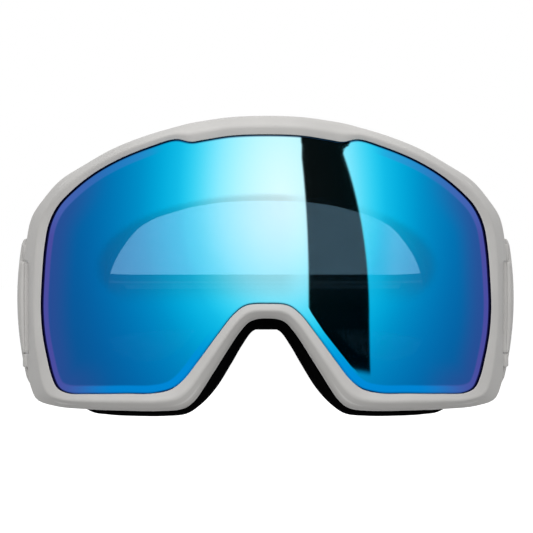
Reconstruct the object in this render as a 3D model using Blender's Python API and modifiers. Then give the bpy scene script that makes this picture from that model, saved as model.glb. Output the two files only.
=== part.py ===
"""Ski goggles with a cylindrical mirrored lens, pivoting strap outriggers and an adjustable strap.

Lengths below are in millimetres and become metres where a mesh is made. X runs across the goggles, Z up
and Y from front to back. The origin is on the symmetry plane, at the height of the lens's optical axis,
where the middle of the face seal meets the forehead.
"""
import math

import bmesh
import bpy
import numpy as np
from mathutils import Matrix, Vector

MM = 0.001

# ---------------------------------------------------------------- driving dimensions
SEAL_DEPTH = 40.0          # from the lens's foremost point back to the origin
LENS_RADIUS = 110.0        # cylindrical curve of the lens, seen from above
LENS_SIDE_RADIUS = 420.0   # its slight curve from top to bottom
FACE_RADIUS = 78.0         # curve of the face seal, seen from above
REAR_CENTRE = -15.0        # the frame's rear edge on the symmetry plane
REAR_WRAP = 38.0           # how far further back that edge is at REAR_WRAP_AT
REAR_WRAP_AT = 86.0
GAP = 0.3                  # clearance between neighbouring pieces

RIM_LIP = 0.6              # thickness of the rim's tip over the lens
RIM_CREST = 2.2            # height of the rim's ridge above the lens
CREST_SHARE = 0.43         # where the ridge runs, from the lens's edge to the outer edge
SHOULDER_SHARE = 0.86
SHOULDER_DROP = 0.6
SIDE_DROP = 2.6
WALL = 2.0                 # the frame's wall, thicker at the temples to hold the outriggers
TEMPLE_WALL = 4.1

LENS_OVERLAP = 1.2         # how far the lens reaches under the rim
LENS_THICK = 1.4
SPACER_DEPTH = 4.0
INNER_LENS_THICK = 0.9

PLATE_THICK = 1.8
PLATE_SPIGOT = 7.0         # how far the plate's collar reaches into the frame
PLATE_OPENING = 0.45       # its opening, as a share of the way from the lens's edge to the foam's
FOAM_SPLITS = (0.0, 0.40, 0.86, 1.0)
FOAM_GAP = 0.6             # clearance in front of the foam, which follows a curve in flat facets

VENT_FOAM_THICK = 2.2
VENT_FOAM_DEPTH = 6.4
VENT_SLOT = (12.0, 5.0)

HINGE_X = 85.4             # the outrigger's vertical hinge axis
HINGE_Y = 7.4
PIN_RADIUS = 0.9
PIN_HOLE_RADIUS = 1.2
KNUCKLE_RADIUS = 1.9
KNUCKLE_Z = (-30.9, 1.7)
LUG_UPPER_Z = (2.0, 8.0)
LUG_LOWER_Z = (-36.0, -31.2)
PIN_Z = (-35.6, 7.4)
RECESS_X = 83.2            # the seat cut in the frame for the outrigger
RECESS_Y = 4.6
RECESS_Z = (-43.4, 11.0)
NOTCH_X = 84.6             # the cut through the rim that the knuckle shows in
NOTCH_Y = -6.0

ARM_Y = 10.2               # where the outrigger's arm starts, behind the lugs
ARM_Z = (-42.3, 10.1)
ARM_TAPER = 3.4            # how far its upper and lower edges draw in towards the rear
ARM_INNER_X = (83.8, 86.8) # its inner face beside the frame, and behind it
CROWN_X = 89.85            # its outer face, barrelled about the height CROWN_Z
CROWN_Z = -11.5
BARREL = 0.0042

STRAP_WIDTH = 38.0
STRAP_THICK = 1.2
STRAP_Z = -16.2            # the strap's middle at the outriggers
STRAP_REAR_Z = -16.8       # and at the back of the head
STRAP_LEAN = 48.0          # degrees that its top edge leans out there, below the bump of the head's back
STRAP_X = 90.1             # centreline of the outer layer
FOLD_X = 85.9              # centreline of the layer that is folded back inside
BAR_Y = (40.0, 44.0)       # the outrigger's rear bar, which the strap goes round
BAR_THICK = 2.4
BAR_Z = (-38.0, 5.6)
WINDOW_Y = (35.5, 60.0)    # the opening in front of that bar
LOOP_END_Y = 56.0          # where the strap leaves the outrigger's body
STRAIGHT_END_Y = 132.0     # end of the straight run that the sliders travel on
STRAP_REAR_Y = 205.0
STRAP_FLAT_X = 22.0        # half of the flat stretch at the back
GRIP_WIDTH = 3.0           # lines of silicone inside the strap
GRIP_THICK = 0.6
GRIP_SHIFT = 9.0

SLIDER_Y = (84.0, 100.0)
SLIDER_BAR_Y = (91.0, 94.0)
SLIDER_BAR_THICK = 0.8
SLIDER_RAIL = 2.5
SLIDER_FACE = 1.4          # thickness of the bars outside the strap
SLIDER_FACE_WIDTH = 3.0

# ---------------------------------------------------------------- outlines
# Matching stations down the +X half, from the top centre round the temple to the bridge of the nose.
# Each row: the lens's visible edge, the frame's outer edge, the face foam's outer edge and its opening.
STATIONS = (
    ((0.0, 43.9), (0.0, 50.5), (0.0, 48.0), (0.0, 23.3)),
    ((12.0, 43.5), (12.0, 50.1), (12.0, 47.6), (10.0, 23.1)),
    ((21.0, 42.2), (21.0, 49.0), (21.0, 46.6), (17.0, 22.6)),
    ((25.4, 41.6), (26.0, 48.2), (26.0, 45.6), (21.5, 22.0)),
    ((30.5, 42.6), (31.5, 46.9), (31.0, 44.2), (26.3, 21.2)),
    ((39.0, 40.4), (40.5, 44.5), (39.5, 41.7), (32.5, 19.6)),
    ((50.0, 36.4), (52.3, 40.4), (50.0, 37.4), (39.8, 17.3)),
    ((59.6, 31.5), (63.2, 35.0), (58.5, 32.4), (45.8, 14.0)),
    ((67.4, 25.9), (72.2, 30.0), (65.5, 26.5), (50.4, 9.2)),
    ((72.6, 20.9), (78.4, 24.0), (70.5, 20.0), (54.1, 3.9)),
    ((75.9, 14.9), (83.4, 17.5), (74.0, 12.5), (56.6, -1.4)),
    ((77.6, 6.9), (85.7, 8.0), (75.9, 4.0), (58.0, -7.0)),
    ((78.7, -5.0), (86.1, -5.0), (76.9, -6.0), (59.0, -12.0)),
    ((79.1, -15.0), (86.2, -16.0), (77.3, -16.0), (59.3, -17.5)),
    ((78.4, -24.0), (85.9, -27.0), (76.9, -27.0), (58.8, -23.0)),
    ((76.8, -31.9), (85.2, -36.0), (75.9, -36.0), (57.3, -27.5)),
    ((74.9, -38.7), (84.3, -42.5), (73.7, -44.0), (55.5, -30.8)),
    ((72.8, -42.4), (81.4, -47.5), (70.3, -50.1), (52.5, -32.8)),
    ((69.0, -43.9), (74.2, -49.1), (64.4, -53.5), (49.0, -33.9)),
    ((60.0, -43.7), (62.3, -49.4), (57.3, -54.4), (45.5, -34.3)),
    ((48.0, -43.1), (48.0, -49.2), (47.0, -54.3), (42.0, -34.3)),
    ((38.3, -42.7), (36.0, -48.9), (36.5, -53.8), (38.2, -33.7)),
    ((32.2, -41.2), (28.5, -48.0), (28.5, -52.7), (34.6, -32.2)),
    ((28.0, -38.0), (24.4, -45.3), (23.5, -49.4), (31.2, -29.8)),
    ((22.5, -31.0), (18.5, -36.5), (17.8, -43.3), (26.4, -24.6)),
    ((16.4, -22.7), (13.3, -28.2), (12.2, -34.3), (20.5, -18.8)),
    ((11.0, -15.9), (9.0, -21.8), (8.6, -28.1), (14.8, -14.0)),
    ((7.0, -13.0), (5.6, -18.3), (5.0, -23.1), (8.7, -10.8)),
    ((0.0, -12.4), (0.0, -17.3), (0.0, -22.0), (0.0, -9.8)),
)
RING_STATIONS = 46


def lens_y(x, z):
    """Depth of the lens's front surface."""
    across = LENS_RADIUS - math.sqrt(LENS_RADIUS**2 - x * x)
    upward = LENS_SIDE_RADIUS - math.sqrt(LENS_SIDE_RADIUS**2 - z * z)
    return across + upward - SEAL_DEPTH


def behind_lens(x, z, distance):
    """Depth of the surface that runs behind the lens's front, at a distance measured square to it."""
    return lens_y(x, z) + distance * LENS_RADIUS / math.sqrt(LENS_RADIUS**2 - x * x)


def rear_y(x):
    """Depth of the frame's rear edge."""
    return REAR_CENTRE + REAR_WRAP * (x / REAR_WRAP_AT) ** 2


def seal_y(x):
    """Depth of the surface that rests on the face."""
    return x * x / (2 * FACE_RADIUS)


def smooth_step(value, low, high):
    share = min(max((value - low) / (high - low), 0.0), 1.0)
    return share * share * (3 - 2 * share)


def smooth_stations(count):
    """The stations on smooth curves, at even steps along the lens's edge, as four lists of points."""
    rows = np.array(STATIONS, float).reshape(len(STATIONS), 8)
    mirror = np.array([-1, 1] * 4)
    rows = np.vstack([rows[1] * mirror, rows, rows[-2] * mirror])
    steps = np.sqrt(np.linalg.norm(np.diff(rows[:, :2], axis=0), axis=1))
    dense = []
    for i in range(1, len(rows) - 2):
        before, here, after = steps[i - 1], steps[i], steps[i + 1]
        slope = (rows[i + 1] - rows[i]) / here
        start = (slope * before + (rows[i] - rows[i - 1]) / before * here) / (before + here)
        end = (slope * after + (rows[i + 2] - rows[i + 1]) / after * here) / (after + here)
        for t in np.linspace(0, 1, 24, endpoint=i == len(rows) - 3):
            a = 2 * t**3 - 3 * t**2 + 1
            b = t**3 - 2 * t**2 + t
            c = t**3 - t**2
            dense.append(a * rows[i] + b * here * start + (1 - a) * rows[i + 1] + c * here * end)
    dense = np.array(dense)
    along = np.concatenate([[0], np.cumsum(np.linalg.norm(np.diff(dense[:, :2], axis=0), axis=1))])
    even = np.linspace(0, along[-1], count)
    fine = np.column_stack([np.interp(even, along, dense[:, k]) for k in range(8)])
    return [fine[:, 2 * k:2 * k + 2] for k in range(4)]


LENS_EDGE, FRAME_EDGE, FOAM_EDGE, FOAM_OPENING = smooth_stations(RING_STATIONS)


def rim_width(i):
    return float(np.linalg.norm(FRAME_EDGE[i] - LENS_EDGE[i]))


def rim_point(i, distance):
    """The point that lies a distance outward from the lens's edge, at a station."""
    return LENS_EDGE[i] + (FRAME_EDGE[i] - LENS_EDGE[i]) / rim_width(i) * distance


def temple_share(i):
    """1 at the temples, where the frame holds the outriggers, and 0 over the rest of it."""
    return smooth_step(FRAME_EDGE[i][0], 72, 82)


def wall_distance(i):
    """How far the frame's inner wall is from the lens's edge."""
    return rim_width(i) - WALL - (TEMPLE_WALL - WALL) * temple_share(i)


# ---------------------------------------------------------------- scene and mesh helpers
def clear_scene():
    for old in list(bpy.data.objects):
        bpy.data.objects.remove(old, do_unlink=True)


def new_collection(name):
    collection = bpy.data.collections.new(name)
    bpy.context.scene.collection.children.link(collection)
    return collection


def material(name, colour, roughness, metallic=0.0):
    made = bpy.data.materials.new(name)
    made.use_nodes = True
    shader = made.node_tree.nodes["Principled BSDF"]
    shader.inputs["Base Color"].default_value = (*colour, 1.0)
    shader.inputs["Roughness"].default_value = roughness
    shader.inputs["Metallic"].default_value = metallic
    made.diffuse_color = (*colour, 1.0)
    return made


def add_object(name, mesh, collection, finish=None, origin=(0, 0, 0)):
    """An object from a mesh in world metres, with its own origin in millimetres."""
    place = Vector(origin) * MM
    mesh.transform(Matrix.Translation(-place))
    made = bpy.data.objects.new(name, mesh)
    made.location = place
    if finish:
        mesh.materials.append(finish)
    collection.objects.link(made)
    return made


def mesh_from(bm, name):
    bmesh.ops.scale(bm, vec=(MM, MM, MM), verts=bm.verts)
    mesh = bpy.data.meshes.new(name)
    bm.to_mesh(mesh)
    bm.free()
    return mesh


def band_mesh(name, sections, cap_start, cap_end, split=False):
    """A skin through closed sections of (x, y, z) points, all with the same number of points.

    With split, its faces are triangles cut across their shorter diagonal, so that two skins that follow
    each other closely are cut alike.
    """
    bm = bmesh.new()
    rings = [[bm.verts.new(point) for point in section] for section in sections]
    size = len(rings[0])
    for near, far in zip(rings, rings[1:]):
        for k in range(size):
            bm.faces.new((near[k], far[k], far[(k + 1) % size], near[(k + 1) % size]))
    if cap_start:
        bm.faces.new(rings[0])
    if cap_end:
        bm.faces.new(list(reversed(rings[-1])))
    bmesh.ops.recalc_face_normals(bm, faces=bm.faces)
    if cap_start and cap_end and bm.calc_volume(signed=True) < 0:
        bmesh.ops.reverse_faces(bm, faces=bm.faces)
    if split:
        bmesh.ops.triangulate(bm, faces=bm.faces, quad_method="SHORT_EDGE")
    return mesh_from(bm, name)


def add_mirror(thing):
    mirror = thing.modifiers.new("Mirror", "MIRROR")
    mirror.use_axis = (True, False, False)
    mirror.merge_threshold = 0.0001
    return mirror


def ring(name, finish, section_at, split=False):
    """A closed ring from the sections of its +X half."""
    sections = [section_at(i) for i in range(RING_STATIONS)]
    for point in sections[0] + sections[-1]:
        point[0] = 0.0
    thing = add_object(name, band_mesh(name, sections, False, False, split), PARTS, finish)
    add_mirror(thing)
    return thing


def at_depth(flat, depth):
    """A point of an outline, set at a depth."""
    return [float(flat[0]), float(depth), float(flat[1])]


def box(name, low, high, collection, finish=None):
    bm = bmesh.new()
    size = Vector(high) - Vector(low)
    middle = (Vector(high) + Vector(low)) / 2
    bmesh.ops.create_cube(bm, size=1.0, matrix=Matrix.Translation(middle) @ Matrix.Diagonal((*size, 1)))
    return add_object(name, mesh_from(bm, name), collection, finish)


def post(name, centre, radius, z_range, collection, sides=16, finish=None, origin=(0, 0, 0)):
    """An upright cylinder."""
    bm = bmesh.new()
    middle = Vector((*centre, sum(z_range) / 2))
    bmesh.ops.create_cone(bm, cap_ends=True, segments=sides, radius1=radius, radius2=radius,
                          depth=z_range[1] - z_range[0], matrix=Matrix.Translation(middle))
    return add_object(name, mesh_from(bm, name), collection, finish, origin)


def prism(name, plan, z_range, collection, finish=None):
    """An upright prism over a plan of (x, y) points that run anticlockwise."""
    low = [[x, y, z_range[0]] for x, y in plan]
    high = [[x, y, z_range[1]] for x, y in plan]
    return add_object(name, band_mesh(name, [low, high], True, True), collection, finish)


def combine(thing, other, operation):
    modifier = thing.modifiers.new(other.name, "BOOLEAN")
    modifier.operation = operation
    modifier.solver = "EXACT"
    modifier.object = other
    other.hide_render = True
    other.display_type = "WIRE"


def baked_mesh(thing, name):
    """The object's finished mesh, in world metres."""
    bpy.context.view_layer.update()
    mesh = bpy.data.meshes.new_from_object(thing.evaluated_get(bpy.context.evaluated_depsgraph_get()))
    mesh.transform(thing.matrix_world)
    mesh.name = name
    return mesh


def both_sides(thing, name, finish, origin=(0, 0, 0)):
    """Turns the +X piece into two pieces, NAME_right and NAME_left, each a plain mesh."""
    for side, sign in (("right", 1), ("left", -1)):
        mesh = baked_mesh(thing, f"{name}_{side}")
        mesh.materials.clear()
        if sign < 0:
            mesh.transform(Matrix.Diagonal((-1, 1, 1, 1)))
            mesh.flip_normals()
        add_object(f"{name}_{side}", mesh, PARTS, finish, (origin[0] * sign, origin[1], origin[2]))
    bpy.data.objects.remove(thing, do_unlink=True)


# ---------------------------------------------------------------- frame
def frame_section(i):
    width = rim_width(i)
    tip = rim_point(i, 0)
    crest = rim_point(i, width * CREST_SHARE)
    shoulder = rim_point(i, width * SHOULDER_SHARE)
    edge = FRAME_EDGE[i]
    wall = rim_point(i, wall_distance(i))
    return [
        at_depth(tip, lens_y(*tip) - GAP - RIM_LIP),
        at_depth(crest, lens_y(*crest) - RIM_CREST),
        at_depth(shoulder, lens_y(*edge) + SHOULDER_DROP),
        at_depth(edge, lens_y(*edge) + SIDE_DROP),
        at_depth(edge, rear_y(edge[0])),
        at_depth(wall, rear_y(wall[0])),
        at_depth(wall, lens_y(*wall) - GAP),
        at_depth(tip, lens_y(*tip) - GAP),
    ]


def vent_cutter(name, x, upper):
    """A slot through the top or bottom wall, square to it and halfway along its depth."""
    half = RING_STATIONS // 2
    stations = range(half) if upper else range(half, RING_STATIONS)
    i = min(stations, key=lambda k: abs(FRAME_EDGE[k][0] - x))
    along = FRAME_EDGE[i + 1] - FRAME_EDGE[i - 1]
    outward = np.array([-along[1], along[0]]) / np.linalg.norm(along)
    tilt = math.atan2(outward[0], outward[1])
    centre = FRAME_EDGE[i] + np.array([x - FRAME_EDGE[i][0], 0.0])
    bm = bmesh.new()
    size = Matrix.Diagonal((VENT_SLOT[0], VENT_SLOT[1], 9.0, 1))
    bmesh.ops.create_cube(bm, size=1.0, matrix=size)
    bmesh.ops.bevel(bm, geom=[e for e in bm.edges if abs((e.verts[0].co - e.verts[1].co).z) > 1],
                    offset=2.0, segments=2, affect="EDGES")
    middle = (centre[0], rear_y(x) - PLATE_SPIGOT - VENT_FOAM_DEPTH / 2, centre[1])
    bm.transform(Matrix.Translation(middle) @ Matrix.Rotation(tilt, 4, "Y"))
    return add_object(name, mesh_from(bm, name), CUTTERS)


def make_frame():
    frame = ring("outer_frame", GREY, frame_section)
    for x in (9.0, 27.0, 45.0, 61.0):
        for sign in (1, -1):
            cutter = vent_cutter(f"vent_top_{x:.0f}_{sign}", x, True)
            cutter.scale.x = sign
            combine(frame, cutter, "DIFFERENCE")
    for x in (40.0, 58.0):
        for sign in (1, -1):
            cutter = vent_cutter(f"vent_bottom_{x:.0f}_{sign}", x, False)
            cutter.scale.x = sign
            combine(frame, cutter, "DIFFERENCE")
    for sign in (1, -1):
        seat = box(f"seat_{sign}", (RECESS_X, RECESS_Y, RECESS_Z[0]), (99, 40, RECESS_Z[1]), CUTTERS)
        seat.scale.x = sign
        combine(frame, seat, "DIFFERENCE")
        notch_z = (LUG_LOWER_Z[1] - 0.1, LUG_UPPER_Z[0] + 0.1)
        notch = box(f"notch_{sign}", (NOTCH_X, NOTCH_Y, notch_z[0]), (99, 40, notch_z[1]), CUTTERS)
        notch.scale.x = sign
        combine(frame, notch, "DIFFERENCE")
        for level, z_range in (("upper", LUG_UPPER_Z), ("lower", LUG_LOWER_Z)):
            lug = prism(f"lug_{level}_{sign}", knuckle_plan(RECESS_X - 0.6), z_range, CUTTERS)
            lug.scale.x = sign
            combine(frame, lug, "UNION")
        hole = post(f"lug_hole_{sign}", (HINGE_X, HINGE_Y), PIN_HOLE_RADIUS,
                    (LUG_LOWER_Z[0] - 5, PIN_Z[1] + GAP), CUTTERS)
        hole.scale.x = sign
        combine(frame, hole, "DIFFERENCE")
    return frame


def knuckle_plan(root_x):
    """Plan of a hinge knuckle: round about the pin, straight back to its root."""
    plan = [(root_x, HINGE_Y + KNUCKLE_RADIUS), (root_x, HINGE_Y - KNUCKLE_RADIUS)]
    for k in range(9):
        turn = -math.pi / 2 + math.pi * k / 8
        plan.append((HINGE_X + KNUCKLE_RADIUS * math.cos(turn), HINGE_Y + KNUCKLE_RADIUS * math.sin(turn)))
    return plan


# ---------------------------------------------------------------- lens
def lens_sheet(name, finish, reach, distance, thickness, columns=22, rows=5):
    """A curved pane that reaches past the lens's visible edge, at a distance behind the lens's front."""
    edge = np.array([rim_point(i, reach) for i in range(RING_STATIONS)])
    edge[0][0] = 0.0
    edge[-1][0] = 0.0
    widest = int(edge[:, 0].argmax())
    upper, lower = edge[:widest + 1], edge[widest:][::-1]
    bm = bmesh.new()
    grid = []
    for c in range(columns + 1):
        x = edge[widest][0] * math.sin(math.pi / 2 * c / columns)
        top = np.interp(x, upper[:, 0], upper[:, 1])
        bottom = np.interp(x, lower[:, 0], lower[:, 1])
        heights = [bottom + (top - bottom) * r / rows for r in range(rows + 1)]
        grid.append([bm.verts.new((x, behind_lens(x, z, distance), z)) for z in heights])
    for left, right in zip(grid, grid[1:]):
        for r in range(rows):
            bm.faces.new((left[r], right[r], right[r + 1], left[r + 1]))
    bmesh.ops.remove_doubles(bm, verts=bm.verts, dist=0.02)
    pane = add_object(name, mesh_from(bm, name), PARTS, finish)
    add_mirror(pane)
    solid = pane.modifiers.new("Thickness", "SOLIDIFY")
    solid.thickness = thickness * MM
    solid.offset = -1.0
    return pane


def spacer_section(i):
    front = LENS_THICK + GAP
    inner, outer = rim_point(i, -2.4), rim_point(i, 0.7)
    return [
        at_depth(outer, behind_lens(*outer, front)),
        at_depth(outer, behind_lens(*outer, front + SPACER_DEPTH)),
        at_depth(inner, behind_lens(*inner, front + SPACER_DEPTH)),
        at_depth(inner, behind_lens(*inner, front)),
    ]


# ---------------------------------------------------------------- face plate and foam
def plate_opening(i):
    return LENS_EDGE[i] + (FOAM_OPENING[i] - LENS_EDGE[i]) * PLATE_OPENING


def plate_section(i):
    outer = rim_point(i, wall_distance(i) - GAP)
    inner = rim_point(i, wall_distance(i) - GAP - PLATE_THICK)
    opening = plate_opening(i)
    return [
        at_depth(outer, rear_y(outer[0]) - PLATE_SPIGOT),
        at_depth(outer, rear_y(outer[0])),
        at_depth(opening, rear_y(opening[0])),
        at_depth(opening, rear_y(opening[0]) - PLATE_THICK),
        at_depth(inner, rear_y(inner[0]) - PLATE_THICK),
        at_depth(inner, rear_y(inner[0]) - PLATE_SPIGOT),
    ]


def foam_point(i, outer, share):
    """A point of the foam's outer or inner wall, at a share of the way from the plate to the face."""
    front = rim_point(i, wall_distance(i) + 1.0 - 0.6 * temple_share(i)) if outer else plate_opening(i)
    back = FOAM_EDGE[i] if outer else FOAM_OPENING[i]
    flat = front + (back - front) * share
    start = rear_y(flat[0]) + FOAM_GAP
    return flat, start + (seal_y(flat[0]) - start) * share


def foam_section(i, low, high):
    section = []
    for outer, share, trim in ((True, low, 0), (True, high, GAP), (False, high, GAP), (False, low, 0)):
        flat, depth = foam_point(i, outer, share)
        section.append(at_depth(flat, depth - (trim if high < 1.0 else 0)))
    return section


def make_foam():
    names = ("foam_base", "foam_middle", "foam_fleece")
    for name, finish, low, high in zip(names, (FOAM_DARK, FOAM_SOFT, FLEECE), FOAM_SPLITS, FOAM_SPLITS[1:]):
        ring(name, finish, lambda i: foam_section(i, low, high), split=True)


def vent_foam_section(i):
    outer = rim_point(i, wall_distance(i) - GAP)
    inner = rim_point(i, wall_distance(i) - GAP - VENT_FOAM_THICK)
    section = []
    for flat, back in ((outer, False), (outer, True), (inner, True), (inner, False)):
        depth = rear_y(flat[0]) - PLATE_SPIGOT - GAP - (0 if back else VENT_FOAM_DEPTH)
        section.append(at_depth(flat, depth))
    return section


def stations_between(low_x, high_x, upper):
    half = RING_STATIONS // 2
    stations = range(half) if upper else range(half, RING_STATIONS)
    return [i for i in stations if low_x <= LENS_EDGE[i][0] <= high_x]


def make_vent_foam():
    sections = [vent_foam_section(i) for i in stations_between(0.0, 66.0, True)]
    for point in sections[0]:
        point[0] = 0.0
    top = add_object("vent_foam_top", band_mesh("vent_foam_top", sections, False, True), PARTS, FOAM_DARK)
    add_mirror(top)
    sections = [vent_foam_section(i) for i in stations_between(32.0, 66.0, False)]
    lower = add_object("vent_foam_bottom", band_mesh("vent_foam_bottom", sections, True, True), PARTS)
    both_sides(lower, "vent_foam_bottom", FOAM_DARK)


# ---------------------------------------------------------------- outriggers
def arm_face_x(y, z):
    """How far out the arm's barrelled face is."""
    share = smooth_step(y, ARM_Y, BAR_Y[1])
    crown = CROWN_X + 0.5 * smooth_step(y, ARM_Y, 18.0) - 0.9 * smooth_step(y, 20.0, BAR_Y[1])
    return crown - BARREL * (1 - 0.6 * share) * (z - CROWN_Z) ** 2


def arm_section(y):
    """A closed section of the arm in the X-Z plane."""
    taper = ARM_TAPER * smooth_step(y, ARM_Y, BAR_Y[1])
    bottom, top = ARM_Z[0] + taper, ARM_Z[1] - taper
    inner = ARM_INNER_X[0] + (ARM_INNER_X[1] - ARM_INNER_X[0]) * smooth_step(y, 22.0, 32.0)
    section = []
    for k in range(7):
        z = bottom + (top - bottom) * k / 6
        rounding = 0.6 if k in (0, 6) else 0.0
        section.append([arm_face_x(y, z) - rounding, y, z])
    for z in (top, bottom):
        section.append([inner, y, z])
    return section


def knuckle_section(z):
    """A level section of the knuckle: round about the pin, its outer side following the arm's face."""
    fall = BARREL * (z - CROWN_Z) ** 2
    back_y = ARM_Y + 1.8
    section = [[87.2 - 0.4 * fall, 5.2, z], [88.6 - 0.8 * fall, 6.4, z], [89.4 - fall, 8.4, z],
               [arm_face_x(back_y, z) - 0.05, back_y, z], [84.6, back_y, z]]
    for k in range(9):
        turn = math.radians(100 + 170 * k / 8)
        section.append([HINGE_X + KNUCKLE_RADIUS * math.cos(turn),
                        HINGE_Y + KNUCKLE_RADIUS * math.sin(turn), z])
    return section


def make_outriggers():
    depths = (ARM_Y, 14.0, 18.0, 23.0, 27.0, 32.0, 38.0, BAR_Y[1])
    sections = [arm_section(y) for y in depths]
    arm = add_object("outrigger_arm", band_mesh("outrigger_arm", sections, True, True), CUTTERS)
    levels = [KNUCKLE_Z[0] + (KNUCKLE_Z[1] - KNUCKLE_Z[0]) * k / 5 for k in range(6)]
    knuckle = band_mesh("knuckle", [knuckle_section(z) for z in levels], True, True)
    parts = [(add_object("knuckle", knuckle, CUTTERS), "UNION")]
    half = STRAP_WIDTH / 2 + 0.5
    window = ((80, WINDOW_Y[0], STRAP_Z - half), (99, WINDOW_Y[1], STRAP_Z + half))
    parts.append((box("strap_window", *window, CUTTERS), "DIFFERENCE"))
    bar_x = (STRAP_X + FOLD_X) / 2
    radius = BAR_THICK / 2
    plan = [(bar_x + radius, BAR_Y[1]), (bar_x - radius, BAR_Y[1])]
    for k in range(9):
        turn = math.pi + math.pi * k / 8
        plan.append((bar_x + radius * math.cos(turn), BAR_Y[0] + radius + radius * math.sin(turn)))
    parts.append((prism("strap_bar", plan, BAR_Z, CUTTERS), "UNION"))
    bore = (KNUCKLE_Z[0] - 2, KNUCKLE_Z[1] + 2)
    parts.append((post("knuckle_bore", (HINGE_X, HINGE_Y), PIN_HOLE_RADIUS, bore, CUTTERS), "DIFFERENCE"))
    for part, operation in parts:
        combine(arm, part, operation)
    both_sides(arm, "outrigger", GREY, (HINGE_X, HINGE_Y, 0))
    pin = post("hinge_pin", (HINGE_X, HINGE_Y), PIN_RADIUS, PIN_Z, CUTTERS, sides=12)
    both_sides(pin, "hinge_pin", STEEL, (HINGE_X, HINGE_Y, 0))


# ---------------------------------------------------------------- strap and sliders
def strap_lean(y):
    """How far the webbing leans out at its top edge, in radians."""
    return math.radians(STRAP_LEAN) * smooth_step(y, STRAIGHT_END_Y, STRAP_REAR_Y - 8)


def ribbon(name, finish, path, width=STRAP_WIDTH, thickness=STRAP_THICK, lift=(0.0, 0.0), mirrored=False):
    """Webbing that stands on edge along a path of points; lift moves it outward and up its own face."""
    path = [Vector(point) for point in path]
    sections = []
    for i, point in enumerate(path):
        along = (path[min(i + 1, len(path) - 1)] - path[max(i - 1, 0)]).to_2d().normalized()
        outward = Vector((along.y, -along.x, 0))
        lean = strap_lean(point.y)
        upright = Vector((0, 0, 1))
        face = outward * math.cos(lean) - upright * math.sin(lean)
        rise = outward * math.sin(lean) + upright * math.cos(lean)
        corners = ((1, -1), (1, 1), (-1, 1), (-1, -1))
        sections.append([list(point + face * (side * thickness / 2 + lift[0])
                              + rise * (edge * width / 2 + lift[1])) for side, edge in corners])
    if mirrored:
        for corner in sections[-1]:
            corner[0] = 0.0
    thing = add_object(name, band_mesh(name, sections, True, not mirrored), PARTS, finish)
    if mirrored:
        add_mirror(thing)
    return thing


def u_turn(outer_x, inner_x, y, forward):
    """Points of a half circle between two layers; its front or rear is at y plus or minus the radius."""
    radius = (outer_x - inner_x) / 2
    middle = (outer_x + inner_x) / 2
    points = []
    for k in range(1, 10):
        turn = math.pi * k / 10
        reach = -radius if forward else radius
        points.append((middle + radius * math.cos(turn), y + reach * math.sin(turn)))
    return points


def strap_path(start_y):
    """The +X half of the worn strap, from a point on its straight run to the middle of the back."""
    path = [(STRAP_X, y) for y in np.linspace(start_y, STRAIGHT_END_Y, 5)]
    for k in range(1, 13):
        turn = math.pi / 2 * k / 12
        path.append((STRAP_FLAT_X + (STRAP_X - STRAP_FLAT_X) * math.cos(turn),
                     STRAIGHT_END_Y + (STRAP_REAR_Y - STRAIGHT_END_Y) * math.sin(turn)))
    path.append((0.0, STRAP_REAR_Y))
    rise = STRAP_REAR_Z - STRAP_Z
    return [(x, y, STRAP_Z + rise * smooth_step(y, STRAIGHT_END_Y, STRAP_REAR_Y)) for x, y in path]


def make_strap():
    bar_front = BAR_Y[0] + BAR_THICK / 2
    loop = [(STRAP_X, LOOP_END_Y), (STRAP_X, bar_front)] + u_turn(STRAP_X, FOLD_X, bar_front, True)
    loop += [(FOLD_X, bar_front), (FOLD_X, LOOP_END_Y)]
    front = ribbon("strap_front", WEBBING, [(x, y, STRAP_Z) for x, y in loop])
    both_sides(front, "strap_front", WEBBING, (HINGE_X, HINGE_Y, 0))
    fold_path = [(FOLD_X, y, STRAP_Z) for y in np.linspace(LOOP_END_Y + GAP, SLIDER_Y[0] - GAP, 3)]
    both_sides(ribbon("strap_fold", WEBBING, fold_path), "strap_fold", WEBBING)
    ribbon("strap_band", WEBBING, strap_path(LOOP_END_Y + GAP), mirrored=True)
    near_back = [point for point in strap_path(LOOP_END_Y + GAP) if point[0] < 62.0]
    inside = -(STRAP_THICK / 2 + GAP + GRIP_THICK / 2)
    for name, shift in (("strap_grip_upper", GRIP_SHIFT), ("strap_grip_lower", -GRIP_SHIFT)):
        ribbon(name, SILICONE, near_back, GRIP_WIDTH, GRIP_THICK, (inside, shift), mirrored=True)


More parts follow.
